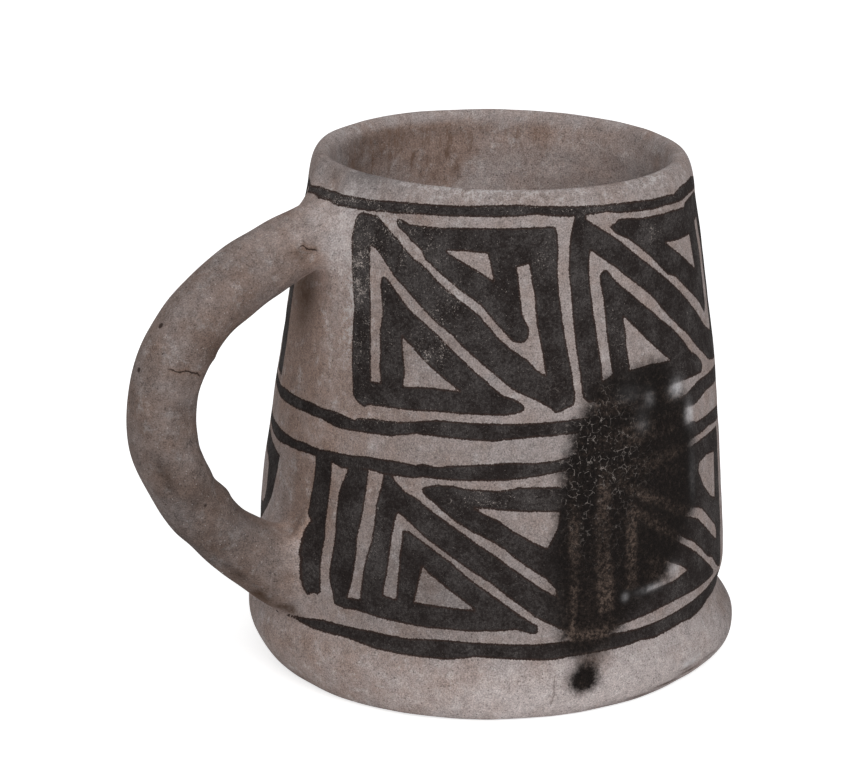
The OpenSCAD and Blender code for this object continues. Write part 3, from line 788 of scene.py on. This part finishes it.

# How light the roll is along the bow, from the upper root to the lower, and at places on it, each (angle
# round it from the bow's outer side, place along it, half width, half length, amount). The darkening towards
# the lower root is partly the roll's own colour and partly painted shade where it faces down, and the places
# hold painted highlights on its ridges, painted shade in its creases, and lighter and darker patches of its
# own
ROLL_TONE_AND_SHADE = [
    (-0.2, 0.96), (0.05, 0.92), (0.3, 0.78), (0.8, 0.7), (1.2, 0.62), (1.6, 0.54), (1.85, 0.72),
    (2.2, 0.88)]
ROLL_TONES_AND_PAINTED_LIGHT = [
    (-15, 1.58, 22, 0.14, -0.1), (-40, 1.77, 10, 0.08, -0.22), (-53, 1.16, 8, 0.05, -0.2),
    (-58, 1.25, 9, 0.05, -0.22), (-76, 1.36, 16, 0.05, -0.14), (-105, 1.14, 14, 0.03, 0.2),
    (-100, 1.2, 10, 0.03, 0.14), (-55, 1.0, 16, 0.07, 0.12), (-105, 0.93, 22, 0.05, -0.14),
    (-125, 0.66, 18, 0.03, -0.14), (-35, 0.65, 18, 0.1, 0.07), (-85, 0.5, 20, 0.06, 0.08),
    (-40, 0.4, 18, 0.06, -0.06), (-60, 0.12, 25, 0.05, 0.1), (-150, 0.3, 25, 0.15, -0.06),
    (-22, 1.08, 20, 0.12, 0.1)]

# Dark brown patches in corners and hollows: dirt, and painted shade along the crease under the lower root.
# Each is (x, y, z, reach, amount) of the upright pot
DIRT_AND_SHADE = [
    (-41.2, 7.5, 79.6, 5.2, 0.7), (-42, 2.5, 77.8, 3.4, 0.4), (-42, 5, 73, 3.6, 0.35),
    (-49, -7.3, 90.3, 1.6, 0.5), (-56.5, -4.3, 20, 1.4, 0.5), (-54.3, -4.3, 18.2, 1.3, 0.5),
    (-51.5, -4.2, 16.2, 1.3, 0.5), (-49.1, -4.9, 14.9, 1.2, 0.45), (-48.3, -7.6, 14.7, 1.1, 0.35),
    (-42, 13, 76, 3, 0.15), (-49.5, -6.3, 35.5, 2.2, 0.3), (-47.5, -9.5, 39, 2.5, 0.35),
    (-52, -6, 33, 2, 0.3), (-54, -1, 16.5, 2.5, 0.7), (-57, -3.5, 19, 2.2, 0.6),
    (-62, -3.5, 22.5, 2.4, 0.4), (-50, -5, 15.8, 2, 0.6), (-80.5, -3, 58, 2.5, 0.3),
    (-79.8, -4.5, 53, 2.5, 0.35), (-77.5, -5.5, 48, 2.5, 0.35), (-67.5, -6, 72, 3, 0.35),
    (-66, -5, 55, 4, 0.3), (-70, -6.8, 44, 3, 0.25)]

# Cracks as lines of the upright pot, each with the way it faces and how open it is, and pits as (x, y, z,
# half width)
CRACKS = [
    ([(-49.1, -6.7, 91.6), (-48.3, -7, 91.9), (-47.4, -7.2, 91.2), (-46.4, -7.6, 91.1),
      (-45.1, -7.9, 90.8)],
     (-0.35, -0.85, 0.4), 1.0),
    ([(-77.2, -5.7, 70.2), (-76, -6.5, 69.7), (-74.9, -6.9, 69.4), (-73.8, -7.1, 69.7),
      (-72.8, -7.1, 69.2), (-71.2, -6.8, 68.7), (-69.8, -6, 67.7)],
     (-0.05, -1, 0), 1.0),
    ([(-13.2, -48.5, 10.8), (-13.5, -48.4, 8.4), (-13.2, -48.2, 6.4), (-13.7, -47.4, 3)],
     (-0.27, -0.96, -0.1), 0.4)]
PITS = [
    (-69.3, -7.1, 41.3, 0.62), (-69.6, -7.1, 41.7, 0.4), (-70.6, -1.5, 84.1, 0.35),
    (-76.4, -1.2, 77.6, 0.7), (-80.8, -0.6, 69, 0.6), (-49.4, -9.4, 17.6, 0.25), (-48.6, -12.9, 17.5, 0.3)]


def crack_fields(points):
    """Signed distance across the nearest crack's line, and a cover that is 1 along it and 0 past its ends. A
    crack is felt within 14 mm of its middle, and within 4 mm of it the way that it faces."""
    across, cover = np.full(points.shape[:-1], 5.0), np.zeros(points.shape[:-1])
    for line, facing, width in CRACKS:
        corners, facing = np.array(line), unit(np.array(facing))
        close = np.abs(points - corners.mean(0)).max(-1) < 14
        if not close.any():
            continue
        p = points[close]
        best, side, ends = np.full(len(p), 99.0), np.full(len(p), 5.0), np.zeros(len(p))
        for i, (a, b) in enumerate(zip(corners[:-1], corners[1:])):
            share = np.clip((p - a) @ (b - a) / ((b - a) @ (b - a)), 0, 1)
            flat = p - a - share[:, None] * (b - a)
            d = np.linalg.norm(flat - (flat @ facing)[:, None] * facing, axis=-1)
            place = (i + share) / (len(corners) - 1)
            fade = width * smooth_step(0, 0.12, place) * smooth_step(1, 0.88, place)
            better = d < best
            best = np.where(better, d, best)
            side = np.where(better, (p - a) @ np.cross(unit(b - a), facing), side)
            ends = np.where(better, fade, ends)
        across[close] = side
        cover[close] = ends * (np.abs((p - corners.mean(0)) @ facing) < 4)
    return across, cover


def fields(points):
    """What the finish needs to know at each point of the leaned pot: distances to paint, fire cloud, cracks
    and pits, and how light, brown, dirty, worn and cracked the clay is there. How light it is holds painted
    light and shade, and the dirt holds painted shade in the crease under the lower root. Paint and cloud end
    where a point lies well inside or outside the pot's plain surface, and the roll's own values take over
    outside it."""
    upright = points @ LEAN_MATRIX
    angle, z, off = at_wall(upright)
    clear = FAR * (smooth_step(2.5, 5.0, -off) + smooth_step(4.5, 6.5, off))
    inside, roll = smooth_step(-3.0, -4.6, off), smooth_step(1.0, 8.0, off)
    outside = 1 - inside
    # How light the roll is, with painted shade where it faces down and in creases, and painted highlights on
    # ridges
    roll_tone_and_shade = np.ones_like(off)
    out = roll > 0
    if out.any():
        along, _, _, around = at_bow(upright[out], -0.1, 2.1)
        roll_tone_and_shade[out] = np.interp(along, *np.array(ROLL_TONE_AND_SHADE).T) + lumps(around, along, ROLL_TONES_AND_PAINTED_LIGHT)
    # Lighter or darker, partly painted light and shade on the foot, lip and roots
    tone_and_painted_light = 1 + outside * lumps(angle, z, TONES_AND_PAINTED_LIGHT) + inside * lumps(angle, z, INSIDE_TONES)
    brown = POT_BROWN + outside * lumps(angle, z, BROWNS) + inside * lumps(angle, z, INSIDE_BROWNS)
    crack, crack_cover = crack_fields(upright)
    pit = np.full(off.shape, 3.0)
    for x, y, up, reach in PITS:
        pit = np.minimum(pit, np.linalg.norm(upright - [x, y, up], axis=-1) - reach)
    return {"paint": np.minimum(paint_distance(angle, z) + clear, FAR),
            "cloud": np.minimum(cloud_distance(angle, z) + 2 * clear, 20),
            # Lighter or darker, partly painted light and shade
            "tone_and_painted_light": tone_and_painted_light * (1 - roll) + roll_tone_and_shade * roll,
            "brown": brown * (1 - roll) + ROLL_BROWN * roll + spots(upright, SPOTS),
            # Dirt, with painted shade in the crease under the lower root
            "dirt_and_shade": spots(upright, DIRT_AND_SHADE) + lumps(angle, z, WALL_DIRT) * outside * (1 - roll),
            "roll": roll, "inside": inside,
            "wear": lumps(angle, z, WEARS) * outside,
            "net": lumps(angle, z, NETS) * outside,
            "ghost": lumps(angle, z, GHOSTS),
            "halo": lumps(angle, z, HALOS) * outside,
            "crack": crack, "crack_cover": crack_cover, "pit": pit}


def add_object(name, data, axes=np.eye(3), place=(0, 0, 0)):
    """An object in the scene, with its own x, y and z as the columns of axes, at a place in metres."""
    item = bpy.data.objects.new(name, data)
    matrix = np.eye(4)
    matrix[:3, :3] = axes
    matrix[:3, 3] = place
    item.matrix_world = Matrix(matrix.tolist())
    bpy.context.scene.collection.objects.link(item)
    return item


def make_piece(name, points, quads, corner_normals, values, triangles):
    """A mesh object from points in millimetres with named values, four-cornered faces with a normal for each
    corner, and triangles without one. Faces are turned round where the closed volume comes out below zero."""
    faces = quads.tolist() + triangles
    a, b, c, d = (points[quads[:, i]] for i in range(4))
    if (a * (np.cross(b, c) + np.cross(c, d))).sum() < 0:
        faces = [face[::-1] for face in faces]
        corner_normals = corner_normals[:, ::-1]
    mesh = bpy.data.meshes.new(name)
    mesh.from_pydata((points * MM).tolist(), [], faces)
    mesh.polygons.foreach_set("use_smooth", np.ones(len(faces), bool))
    for key, value in values.items():
        mesh.attributes.new(key, "FLOAT", "POINT").data.foreach_set("value", value.astype(np.float32))
    no_normals = np.zeros((3 * len(triangles), 3))
    mesh.normals_split_custom_set(np.concatenate([corner_normals.reshape(-1, 3), no_normals]))
    mesh.update()
    return add_object(name, mesh)


def grid_piece(name, points, normals, values, flat_joints=(), capped=False):
    """A solid from rows of points, each closed round. The last row closes on the first, or, capped, both end
    in a middle point. The faces from a flat joint's row to the next take their own flat normals."""
    m, n = points.shape[:2]
    index = np.arange(m * n).reshape(m, n)
    rows = index[:-1] if capped else index
    after = np.roll(index, -1, 0)[:len(rows)]
    quads = np.stack([rows, np.roll(rows, -1, 1), np.roll(after, -1, 1), after], -1)
    flat_points = points.reshape(-1, 3)
    corner_normals = normals.reshape(-1, 3)[quads]
    for joint in flat_joints:
        a, b, c, d = np.moveaxis(flat_points[quads[joint]], 1, 0)
        corner_normals[joint] = unit(np.cross(c - a, d - b))[:, None]
    values = {k: v.reshape(-1) for k, v in values.items()}
    caps = []
    if capped:
        flat_points = np.concatenate([flat_points, points[[0, -1]].mean(1)])
        values = {k: np.append(v, [v[:n].mean(), v[-n:].mean()]) for k, v in values.items()}
        for middle, ring, beside in ((m * n, np.roll(index[0], -1), index[0]),
                                     (m * n + 1, index[-1], np.roll(index[-1], -1))):
            caps += [[middle, int(a), int(b)] for a, b in zip(ring, beside)]
    return make_piece(name, flat_points, quads.reshape(-1, 4), corner_normals.reshape(-1, 4, 3), values, caps)


def build_pot():
    """The foot, the wall's coils, the rim and the base disc, cut from one skin at the coils' joints."""
    skin = Skin()
    values = fields(skin.points)

    def cut(name, out_rows, in_rows):
        """A coil from outside rows going up and inside rows going down, closed flat across both joints."""
        rows = out_rows + in_rows
        own = {k: v[rows] for k, v in values.items()}
        joints = (len(out_rows) - 1, len(rows) - 1)
        return grid_piece(name, skin.points[rows], skin.normals[rows], own, joints)

    floor = skin.rows("floor", lead=0)
    pieces = {"foot_coil": cut("clay_foot", skin.rows("under", "foot", 0), skin.rows("corner") + floor[:1])}
    for i in range(COILS):
        pieces[f"wall_coil_{i + 1}"] = cut(f"clay_coil_{i + 1}", skin.rows(f"out {i}"), skin.rows(f"in {i}"))
    pieces["rim_coil"] = cut("clay_rim", skin.rows("out rim", "lip"), skin.rows("in rim", lead=0))
    under = steps(DISC_R, ROW, 4 * ROW)[:, None]
    bottom = on_table(around_axis(under, skin.angle, BOTTOM_Z) @ LEAN_MATRIX.T)
    bottom[0] = skin.points[0]
    points = np.concatenate([skin.points[floor][::-1], bottom])
    normals = np.concatenate([skin.normals[floor][::-1], np.zeros_like(bottom) + [0, 0, -1.0]])
    pieces["base_disc"] = grid_piece("clay_disc", points, normals, fields(points), (len(floor) - 1,), True)
    return pieces


def build_handle():
    """The roll, and the clay worked round each of its roots."""
    points, normals = handle_sheet()
    leaned = points @ LEAN_MATRIX.T
    pieces = {"handle": grid_piece("clay_handle", leaned, normals @ LEAN_MATRIX.T, fields(leaned), (), True)}
    for node, lower in (("upper_luting", False), ("lower_luting", True)):
        sheet, slope = luting_sheet(lower)
        inner = sheet - slope * LUTING_T
        closed = np.concatenate([sheet, inner[::-1]]) @ LEAN_MATRIX.T
        both = np.concatenate([slope, -slope[::-1]]) @ LEAN_MATRIX.T
        pieces[node] = grid_piece("clay_" + node, closed, both, fields(closed))
    return pieces


class Nodes:
    """The node tree of a material or a world, with short calls for the nodes that the looks are made of."""

    def __init__(self, owner):
        """Empties the owner's tree. The node for the patterns' place is added when it is first needed."""
        owner.use_nodes = True
        self.owner = owner
        self.tree = owner.node_tree
        self.tree.nodes.clear()
        self.place = None

    def put(self, socket, value):
        """Links an output to a socket, or sets the socket to a plain value."""
        if isinstance(value, bpy.types.NodeSocket):
            self.tree.links.new(value, socket)
        elif socket.type == "RGBA":
            socket.default_value = (*value, 1)
        else:
            socket.default_value = value

    def add(self, kind, inputs, output=0, **settings):
        """A new node with its settings and its inputs by name or number. Returns one of its outputs."""
        node = self.tree.nodes.new(kind)
        for key, value in settings.items():
            setattr(node, key, value)
        for key, value in inputs.items():
            self.put(node.inputs[key], value)
        return node.outputs[output]

    def field(self, name):
        """One of the values that fields() gives."""
        return self.add("ShaderNodeAttribute", {}, "Fac", attribute_name=name)

    def stretched(self, size, stretch=(1, 1, 1)):
        """Object coordinates in steps of size millimetres, drawn out by a share along each axis."""
        if self.place is None:
            self.place = self.add("ShaderNodeTexCoord", {}, "Object")
        scale = tuple(1 / (size * share * MM) for share in stretch)
        return self.add("ShaderNodeMapping", {"Vector": self.place, "Scale": scale})

    def noise(self, size, detail, rough, stretch=(1, 1, 1), shift=0.0):
        """Cloudy noise from about 0 to 1 whose patches are about size millimetres across. A shift gives
        another pattern of the same kind."""
        inputs = {"Vector": self.stretched(size, stretch), "Scale": 1.0, "Detail": detail, "Roughness": rough}
        if shift:
            inputs["W"] = shift
        return self.add("ShaderNodeTexNoise", inputs, "Fac", noise_dimensions="4D" if shift else "3D")

    def cells(self, size, stretch=(1, 1, 1)):
        """Distance to the nearest of scattered points, about size millimetres apart."""
        inputs = {"Vector": self.stretched(size, stretch), "Scale": 1.0}
        return self.add("ShaderNodeTexVoronoi", inputs, "Distance")

    def net(self, size):
        """Distance to the edges of irregular cells about size millimetres across, in shares of their size."""
        place = self.stretched(size)
        bend = self.add("ShaderNodeTexNoise", {"Vector": place, "Scale": 1.6, "Detail": 3.0}, "Color")
        bent = self.add("ShaderNodeVectorMath", {0: bend, 1: (0.9, 0.9, 0.9), 2: place},
                        operation="MULTIPLY_ADD")
        return self.add("ShaderNodeTexVoronoi", {"Vector": bent, "Scale": 1.0}, "Distance",
                        feature="DISTANCE_TO_EDGE")

    def math(self, operation, a, b=0.0, clamp=False):
        """A sum or another plain operation on two values, held between 0 and 1 where clamp says so."""
        return self.add("ShaderNodeMath", {0: a, 1: b}, operation=operation, use_clamp=clamp)

    def plus(self, first, *others):
        """The sum of all."""
        for value in others:
            first = self.math("ADD", first, value)
        return first

    def times(self, first, *others):
        """The product of all."""
        for value in others:
            first = self.math("MULTIPLY", first, value)
        return first

    def swing(self, value, amount, middle=0.5):
        """How far a value is from its middle, times amount."""
        return self.times(self.plus(value, -middle), amount)

    def between(self, value, low, high, to_low=0.0, to_high=1.0):
        """Carries a value smoothly from one range to another, held at both ends."""
        inputs = {"Value": value, "From Min": low, "From Max": high, "To Min": to_low, "To Max": to_high}
        return self.add("ShaderNodeMapRange", inputs, "Result", interpolation_type="SMOOTHSTEP", clamp=True)

    def mix(self, share, a, b, kind="MIX"):
        """Colour a with a share of colour b mixed in or multiplied on. The share is held between 0 and 1."""
        return self.add("ShaderNodeMix", {0: share, 6: a, 7: b}, 2, data_type="RGBA", blend_type=kind)

    def finish(self, colour, roughness, bumps):
        """A Principled surface with its bumps, each (height in millimetres per unit, field)."""
        normal = {}
        for depth, height in bumps:
            inputs = {"Distance": depth * MM, "Strength": 1.0, "Height": height, **normal}
            normal = {"Normal": self.add("ShaderNodeBump", inputs, "Normal")}
        inputs = {"Base Color": colour, "Roughness": roughness, "Specular IOR Level": SHEEN, **normal}
        return self.show("ShaderNodeOutputMaterial", self.add("ShaderNodeBsdfPrincipled", inputs))

    def show(self, kind, surface, seen=None):
        """Sends a surface to the tree's output. Where seen is given, the camera sees that one instead,
        straight or in a reflection, and the first still gives the light. Returns the tree's owner."""
        if seen:
            rays = self.tree.nodes.new("ShaderNodeLightPath").outputs
            direct = self.math("MAXIMUM", rays["Is Camera Ray"], rays["Is Glossy Ray"])
            surface = self.add("ShaderNodeMixShader", {0: direct, 1: surface, 2: seen})
        self.put(self.tree.nodes.new(kind).inputs["Surface"], surface)
        return self.owner


def srgb(r, g, b):
    """A colour given in display values from 0 to 255, as the linear values that a shader takes."""
    return tuple(((c / 255 + 0.055) / 1.055) ** 2.4 if c > 10 else c / 255 / 12.92 for c in (r, g, b))


# The colours of the clay, the paint and the soot
GREY = srgb(154, 145, 143)
BROWN = srgb(136, 117, 108)
RUST = srgb(112, 88, 74)
PALE = srgb(192, 187, 186)
FLECK = srgb(172, 162, 156)
DARK = srgb(52, 42, 38)
# Brown of the dirt, also laid on as painted shade in a crease
DIRT_AND_SHADE_COLOUR = srgb(72, 54, 42)
PAINT = srgb(38, 33, 32)
PAINT_GREY = srgb(86, 82, 81)
PAINT_EDGE = srgb(52, 40, 36)
SOOT = srgb(27, 24, 23)
SOOT_BROWN = srgb(98, 84, 76)
HALO = srgb(196, 194, 196)
WHITE = (1, 1, 1)

# How strongly the clay mirrors
SHEEN = 0.03


def clay_colour(n, grit, fine, fleck, wear, roll):
    """The clay: grey mottled with brown, a thin pale slip, light and shade in its grain times the lightness
    field with its painted light and shade, rust in streaks inside, dark and pale grains, dirt with some
    painted crease shade, and chalk where it is worn."""
    brown = n.field("brown")
    colour = n.mix(n.plus(brown, n.swing(n.noise(7, 4, 0.6), 1.7)), GREY, BROWN)
    colour = n.mix(n.between(n.noise(2.8, 5, 0.75, shift=6.0), 0.5, 0.74, 0, 0.5), colour, PALE)
    uneven = n.times(n.swing(n.noise(3.2, 5, 0.7, shift=16.0), 1), n.between(roll, 0, 1, 0.6, 1.25))
    # The grain's light and dark, times the lightness field, which is partly painted light and shade
    shade = n.times(n.plus(n.times(grit, 2.3), n.times(fine, 0.8), -0.55, uneven), n.field("tone_and_painted_light"))
    colour = n.mix(1.0, colour, shade, "MULTIPLY")
    streaks = n.between(n.noise(1.5, 4, 0.7, stretch=(1, 1, 3.5), shift=18.0), 0.48, 0.66, 0, 0.75)
    colour = n.mix(n.times(streaks, n.field("inside"), n.between(brown, 0.35, 0.95)), colour, RUST)
    colour = n.mix(n.between(n.cells(1.3), 0.17, 0.1, 0, 0.5), colour, DARK)
    light = n.between(n.cells(0.75, stretch=(1.1, 0.9, 1.2)), 0.18, 0.08)
    colour = n.mix(n.times(light, n.between(fine, 0.4, 0.6), 0.6), colour, PALE)
    # Dark brown dirt, with painted shade in the crease under the lower root
    colour = n.mix(n.times(n.field("dirt_and_shade"), n.between(fine, 0.3, 0.6, 0.7, 1.2), 0.9), colour, DIRT_AND_SHADE_COLOUR)
    chalk = n.plus(n.times(fleck, 0.6), n.times(fine, 0.4), n.times(wear, 0.08))
    return n.mix(n.times(n.between(chalk, 0.56, 0.66, 0, 0.7), wear), colour, PALE)


def brushed_paint(n, grit, broad, fleck, wear):
    """How far the paint covers the clay, and its colour: brushed thick and thin, brown along its ragged edge,
    grainy, and chipped to pale flecks where it is worn."""
    edge = n.plus(n.field("paint"), n.swing(n.noise(1.2, 3, 0.65, shift=1.0), 0.5), n.swing(grit, 0.3))
    thin = n.plus(n.times(n.noise(0.65, 5, 0.8, shift=8.0), 0.55), n.times(broad, 0.45), n.times(wear, 0.05))
    paint = n.mix(n.between(thin, 0.42, 0.66, 0, 0.66), PAINT, PAINT_GREY)
    paint = n.mix(n.between(edge, -0.05, -0.6), PAINT_EDGE, paint)
    paint = n.mix(1.0, paint, n.plus(n.times(grit, 2.7), -0.33), "MULTIPLY")
    worn = n.times(wear, n.between(n.noise(2.6, 3, 0.65, shift=28.0), 0.38, 0.6, 0.15, 1.2), 0.1)
    chipped = n.between(n.plus(fleck, worn), 0.63, 0.69, 0, 0.85)
    return n.between(edge, 0.09, -0.09), n.mix(chipped, paint, FLECK)


def smoked(n, colour, grit, grain, broad):
    """The colour under the fire cloud: soot with a drifting edge, browner in the bare strips between the
    paint, and pale along parts of its rim."""
    drift = n.plus(n.swing(n.noise(4.5, 5, 0.65, shift=3.0), 5), n.swing(grain, 4))
    paint = n.field("paint")
    ghost = n.plus(n.field("ghost"), n.swing(broad, 0.9, middle=0.42))
    ghost = n.math("MULTIPLY", n.between(paint, -0.9, 0.5, 0.12, 1), ghost, clamp=True)
    black = n.mix(n.times(ghost, n.between(grain, 0.4, 0.64, 0.06, 0.85)), SOOT, SOOT_BROWN)
    black = n.mix(n.between(grain, 0.52, 0.7, 0, 0.2), black, SOOT_BROWN)
    black = n.mix(1.0, black, n.plus(n.times(grit, 2.6), -0.3), "MULTIPLY")
    colour = n.mix(n.between(n.plus(n.field("cloud"), drift), 2.6, -2.8), colour, black)
    rim = n.math("MULTIPLY", n.field("halo"), n.between(paint, -0.6, 0.5, 0.3, 1), clamp=True)
    return n.mix(n.times(rim, n.between(grain, 0.3, 0.6, 0.45, 1)), colour, HALO)


def cracked(n, colour, fine):
    """The colour with the net of hair cracks, the open cracks in their rusty fringe, and the pits. Also gives
    how open the cracks and pits are."""
    broken = n.between(n.noise(1.3, 3, 0.7, shift=12.0), 0.44, 0.62)
    line = n.times(n.between(n.net(1.7), 0.036, 0.008), broken)
    hair = n.math("MULTIPLY", line, n.field("net"), clamp=True)
    colour = n.mix(n.times(hair, 0.5), colour, FLECK)
    wander = n.swing(n.noise(0.8, 3, 0.7, shift=26.0), 0.9)
    apart = n.math("ABSOLUTE", n.plus(n.field("crack"), wander))
    cover = n.field("crack_cover")
    colour = n.mix(n.times(n.between(n.plus(apart, fine), 1.3, 0.7, 0, 0.35), cover), colour, RUST)
    split = n.times(n.between(n.plus(apart, n.times(fine, 0.2)), 0.3, 0.17), cover)
    gap = n.math("MAXIMUM", split, n.between(n.field("pit"), 0.05, -0.2))
    return n.mix(n.times(gap, 0.92), colour, DARK), gap


def fired_clay():
    """Grey clay with a thin slip, its brushed paint, and the fire cloud over both."""
    n = Nodes(bpy.data.materials.new("fired clay"))
    grit = n.noise(0.3, 2, 0.75, shift=4.0)
    fleck = n.noise(0.36, 4, 0.85, shift=10.0)
    grain = n.noise(0.9, 4, 0.8, shift=22.0)
    fine = n.noise(1.5, 3, 0.7, shift=2.0)
    broad = n.noise(6, 3, 0.6, shift=20.0)
    wear, roll = n.field("wear"), n.field("roll")
    cover, paint = brushed_paint(n, grit, broad, fleck, wear)
    colour = n.mix(cover, clay_colour(n, grit, fine, fleck, wear, roll), paint)
    colour, gap = cracked(n, smoked(n, colour, grit, grain, broad), fine)
    depth = n.math("SUBTRACT", n.plus(grit, fine), gap)
    relief = n.times(n.noise(5.5, 3, 0.6, shift=24.0), n.between(roll, 0, 1, 0.3, 1))
    return n.finish(colour, n.between(cover, 0, 1, 0.95, 0.86), [(0.16, depth), (0.7, relief)])


# The floor's half width in metres, its own glow, and the strength of the world's light
FLOOR_SIZE = 3.0
FLOOR_GLOW = 0.68
WORLD_LIGHT = 0.36


def make_floor():
    """A wide pale floor under the pot, which keeps the shadow and shows white where it is lit."""
    mesh = bpy.data.meshes.new("floor")
    corners = [(-FLOOR_SIZE, -FLOOR_SIZE, 0), (FLOOR_SIZE, -FLOOR_SIZE, 0), (FLOOR_SIZE, FLOOR_SIZE, 0),
               (-FLOOR_SIZE, FLOOR_SIZE, 0)]
    mesh.from_pydata(corners, [], [(0, 1, 2, 3)])
    n = Nodes(bpy.data.materials.new("pale floor"))
    diffuse = n.add("ShaderNodeBsdfDiffuse", {"Color": (0.8, 0.8, 0.8)})
    glow = n.add("ShaderNodeEmission", {"Color": WHITE, "Strength": FLOOR_GLOW})
    both = n.add("ShaderNodeAddShader", {0: diffuse, 1: glow})
    mesh.materials.append(n.show("ShaderNodeOutputMaterial", diffuse, both))
    floor = add_object("floor", mesh)


# The camera, as the photograph was taken: its distance and rise over the table, the way it looks and its
# focal length
CAMERA_DISTANCE = 700.0
CAMERA_RISE = 17.15
CAMERA_AROUND = -30.0
AIM_HEIGHT = 50.0
CAMERA_YAW = -0.95
CAMERA_PITCH = 0.43
CAMERA_ROLL = -0.38
LENS = 141.1
SENSOR = 36.0


def swung(one, other, degrees):
    """Two directions turned together, the first towards the second."""
    c, s = math.cos(math.radians(degrees)), math.sin(math.radians(degrees))
    return one * c + other * s, other * c - one * s


def make_camera():
    """The camera at its place, turned by small angles from a look at the pot's middle."""
    c, s = math.cos(math.radians(CAMERA_RISE)), math.sin(math.radians(CAMERA_RISE))
    place = np.array([0, -CAMERA_DISTANCE * c, AIM_HEIGHT + CAMERA_DISTANCE * s])
    right, up, ahead = np.array([[1.0, 0, 0], [0, s, c], [0, c, -s]])
    ahead, right = swung(ahead, right, CAMERA_YAW)
    ahead, up = swung(ahead, up, CAMERA_PITCH)
    right, up = swung(right, up, CAMERA_ROLL)
    turn = level_turn(CAMERA_AROUND)
    data = bpy.data.cameras.new("camera")
    data.lens, data.sensor_width = LENS, SENSOR
    data.clip_start, data.clip_end = 0.01, 20
    axes = turn @ np.stack([right, up, -ahead], -1)
    bpy.context.scene.camera = add_object("camera", data, axes, turn @ place * MM)


def add_lamp(name, around, rise, distance, size, power):
    """A soft square lamp that looks at the pot's middle. Its angle is measured from the camera's own, its
    distance and size are in metres and its power in watts."""
    data = bpy.data.lights.new(name, "AREA")
    data.shape, data.size, data.energy = "SQUARE", size, power
    a, e = math.radians(CAMERA_AROUND + around), math.radians(rise)
    way = np.array([math.sin(a) * math.cos(e), -math.cos(a) * math.cos(e), math.sin(e)])
    across = unit(np.cross([0, 0, 1.0], way))
    axes = np.stack([across, np.cross(way, across), way], -1)
    add_object(name, data, axes, way * distance + [0, 0, AIM_HEIGHT * MM])


def make_light():
    """Plain soft studio light, and a background that shows white."""
    add_lamp("key", 24, 36, 1.6, 1.3, 15)
    add_lamp("top", 10, 85, 1.5, 1.6, 3)
    add_lamp("fill", -60, 14, 1.7, 1.2, 5)
    world = bpy.data.worlds.new("studio")
    bpy.context.scene.world = world
    n = Nodes(world)
    soft, shown = (n.add("ShaderNodeBackground", {"Color": WHITE, "Strength": strength})
                   for strength in (WORLD_LIGHT, 1.0))
    n.show("ShaderNodeOutputWorld", soft, shown)


make_camera()
make_light()
make_floor()
clay = fired_clay()
made = {**build_pot(), **build_handle()}
for node, piece in made.items():
    piece.data.materials.append(clay)
    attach(piece, "root")
    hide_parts(node)

scene = bpy.context.scene
scene.view_settings.view_transform = "Standard"
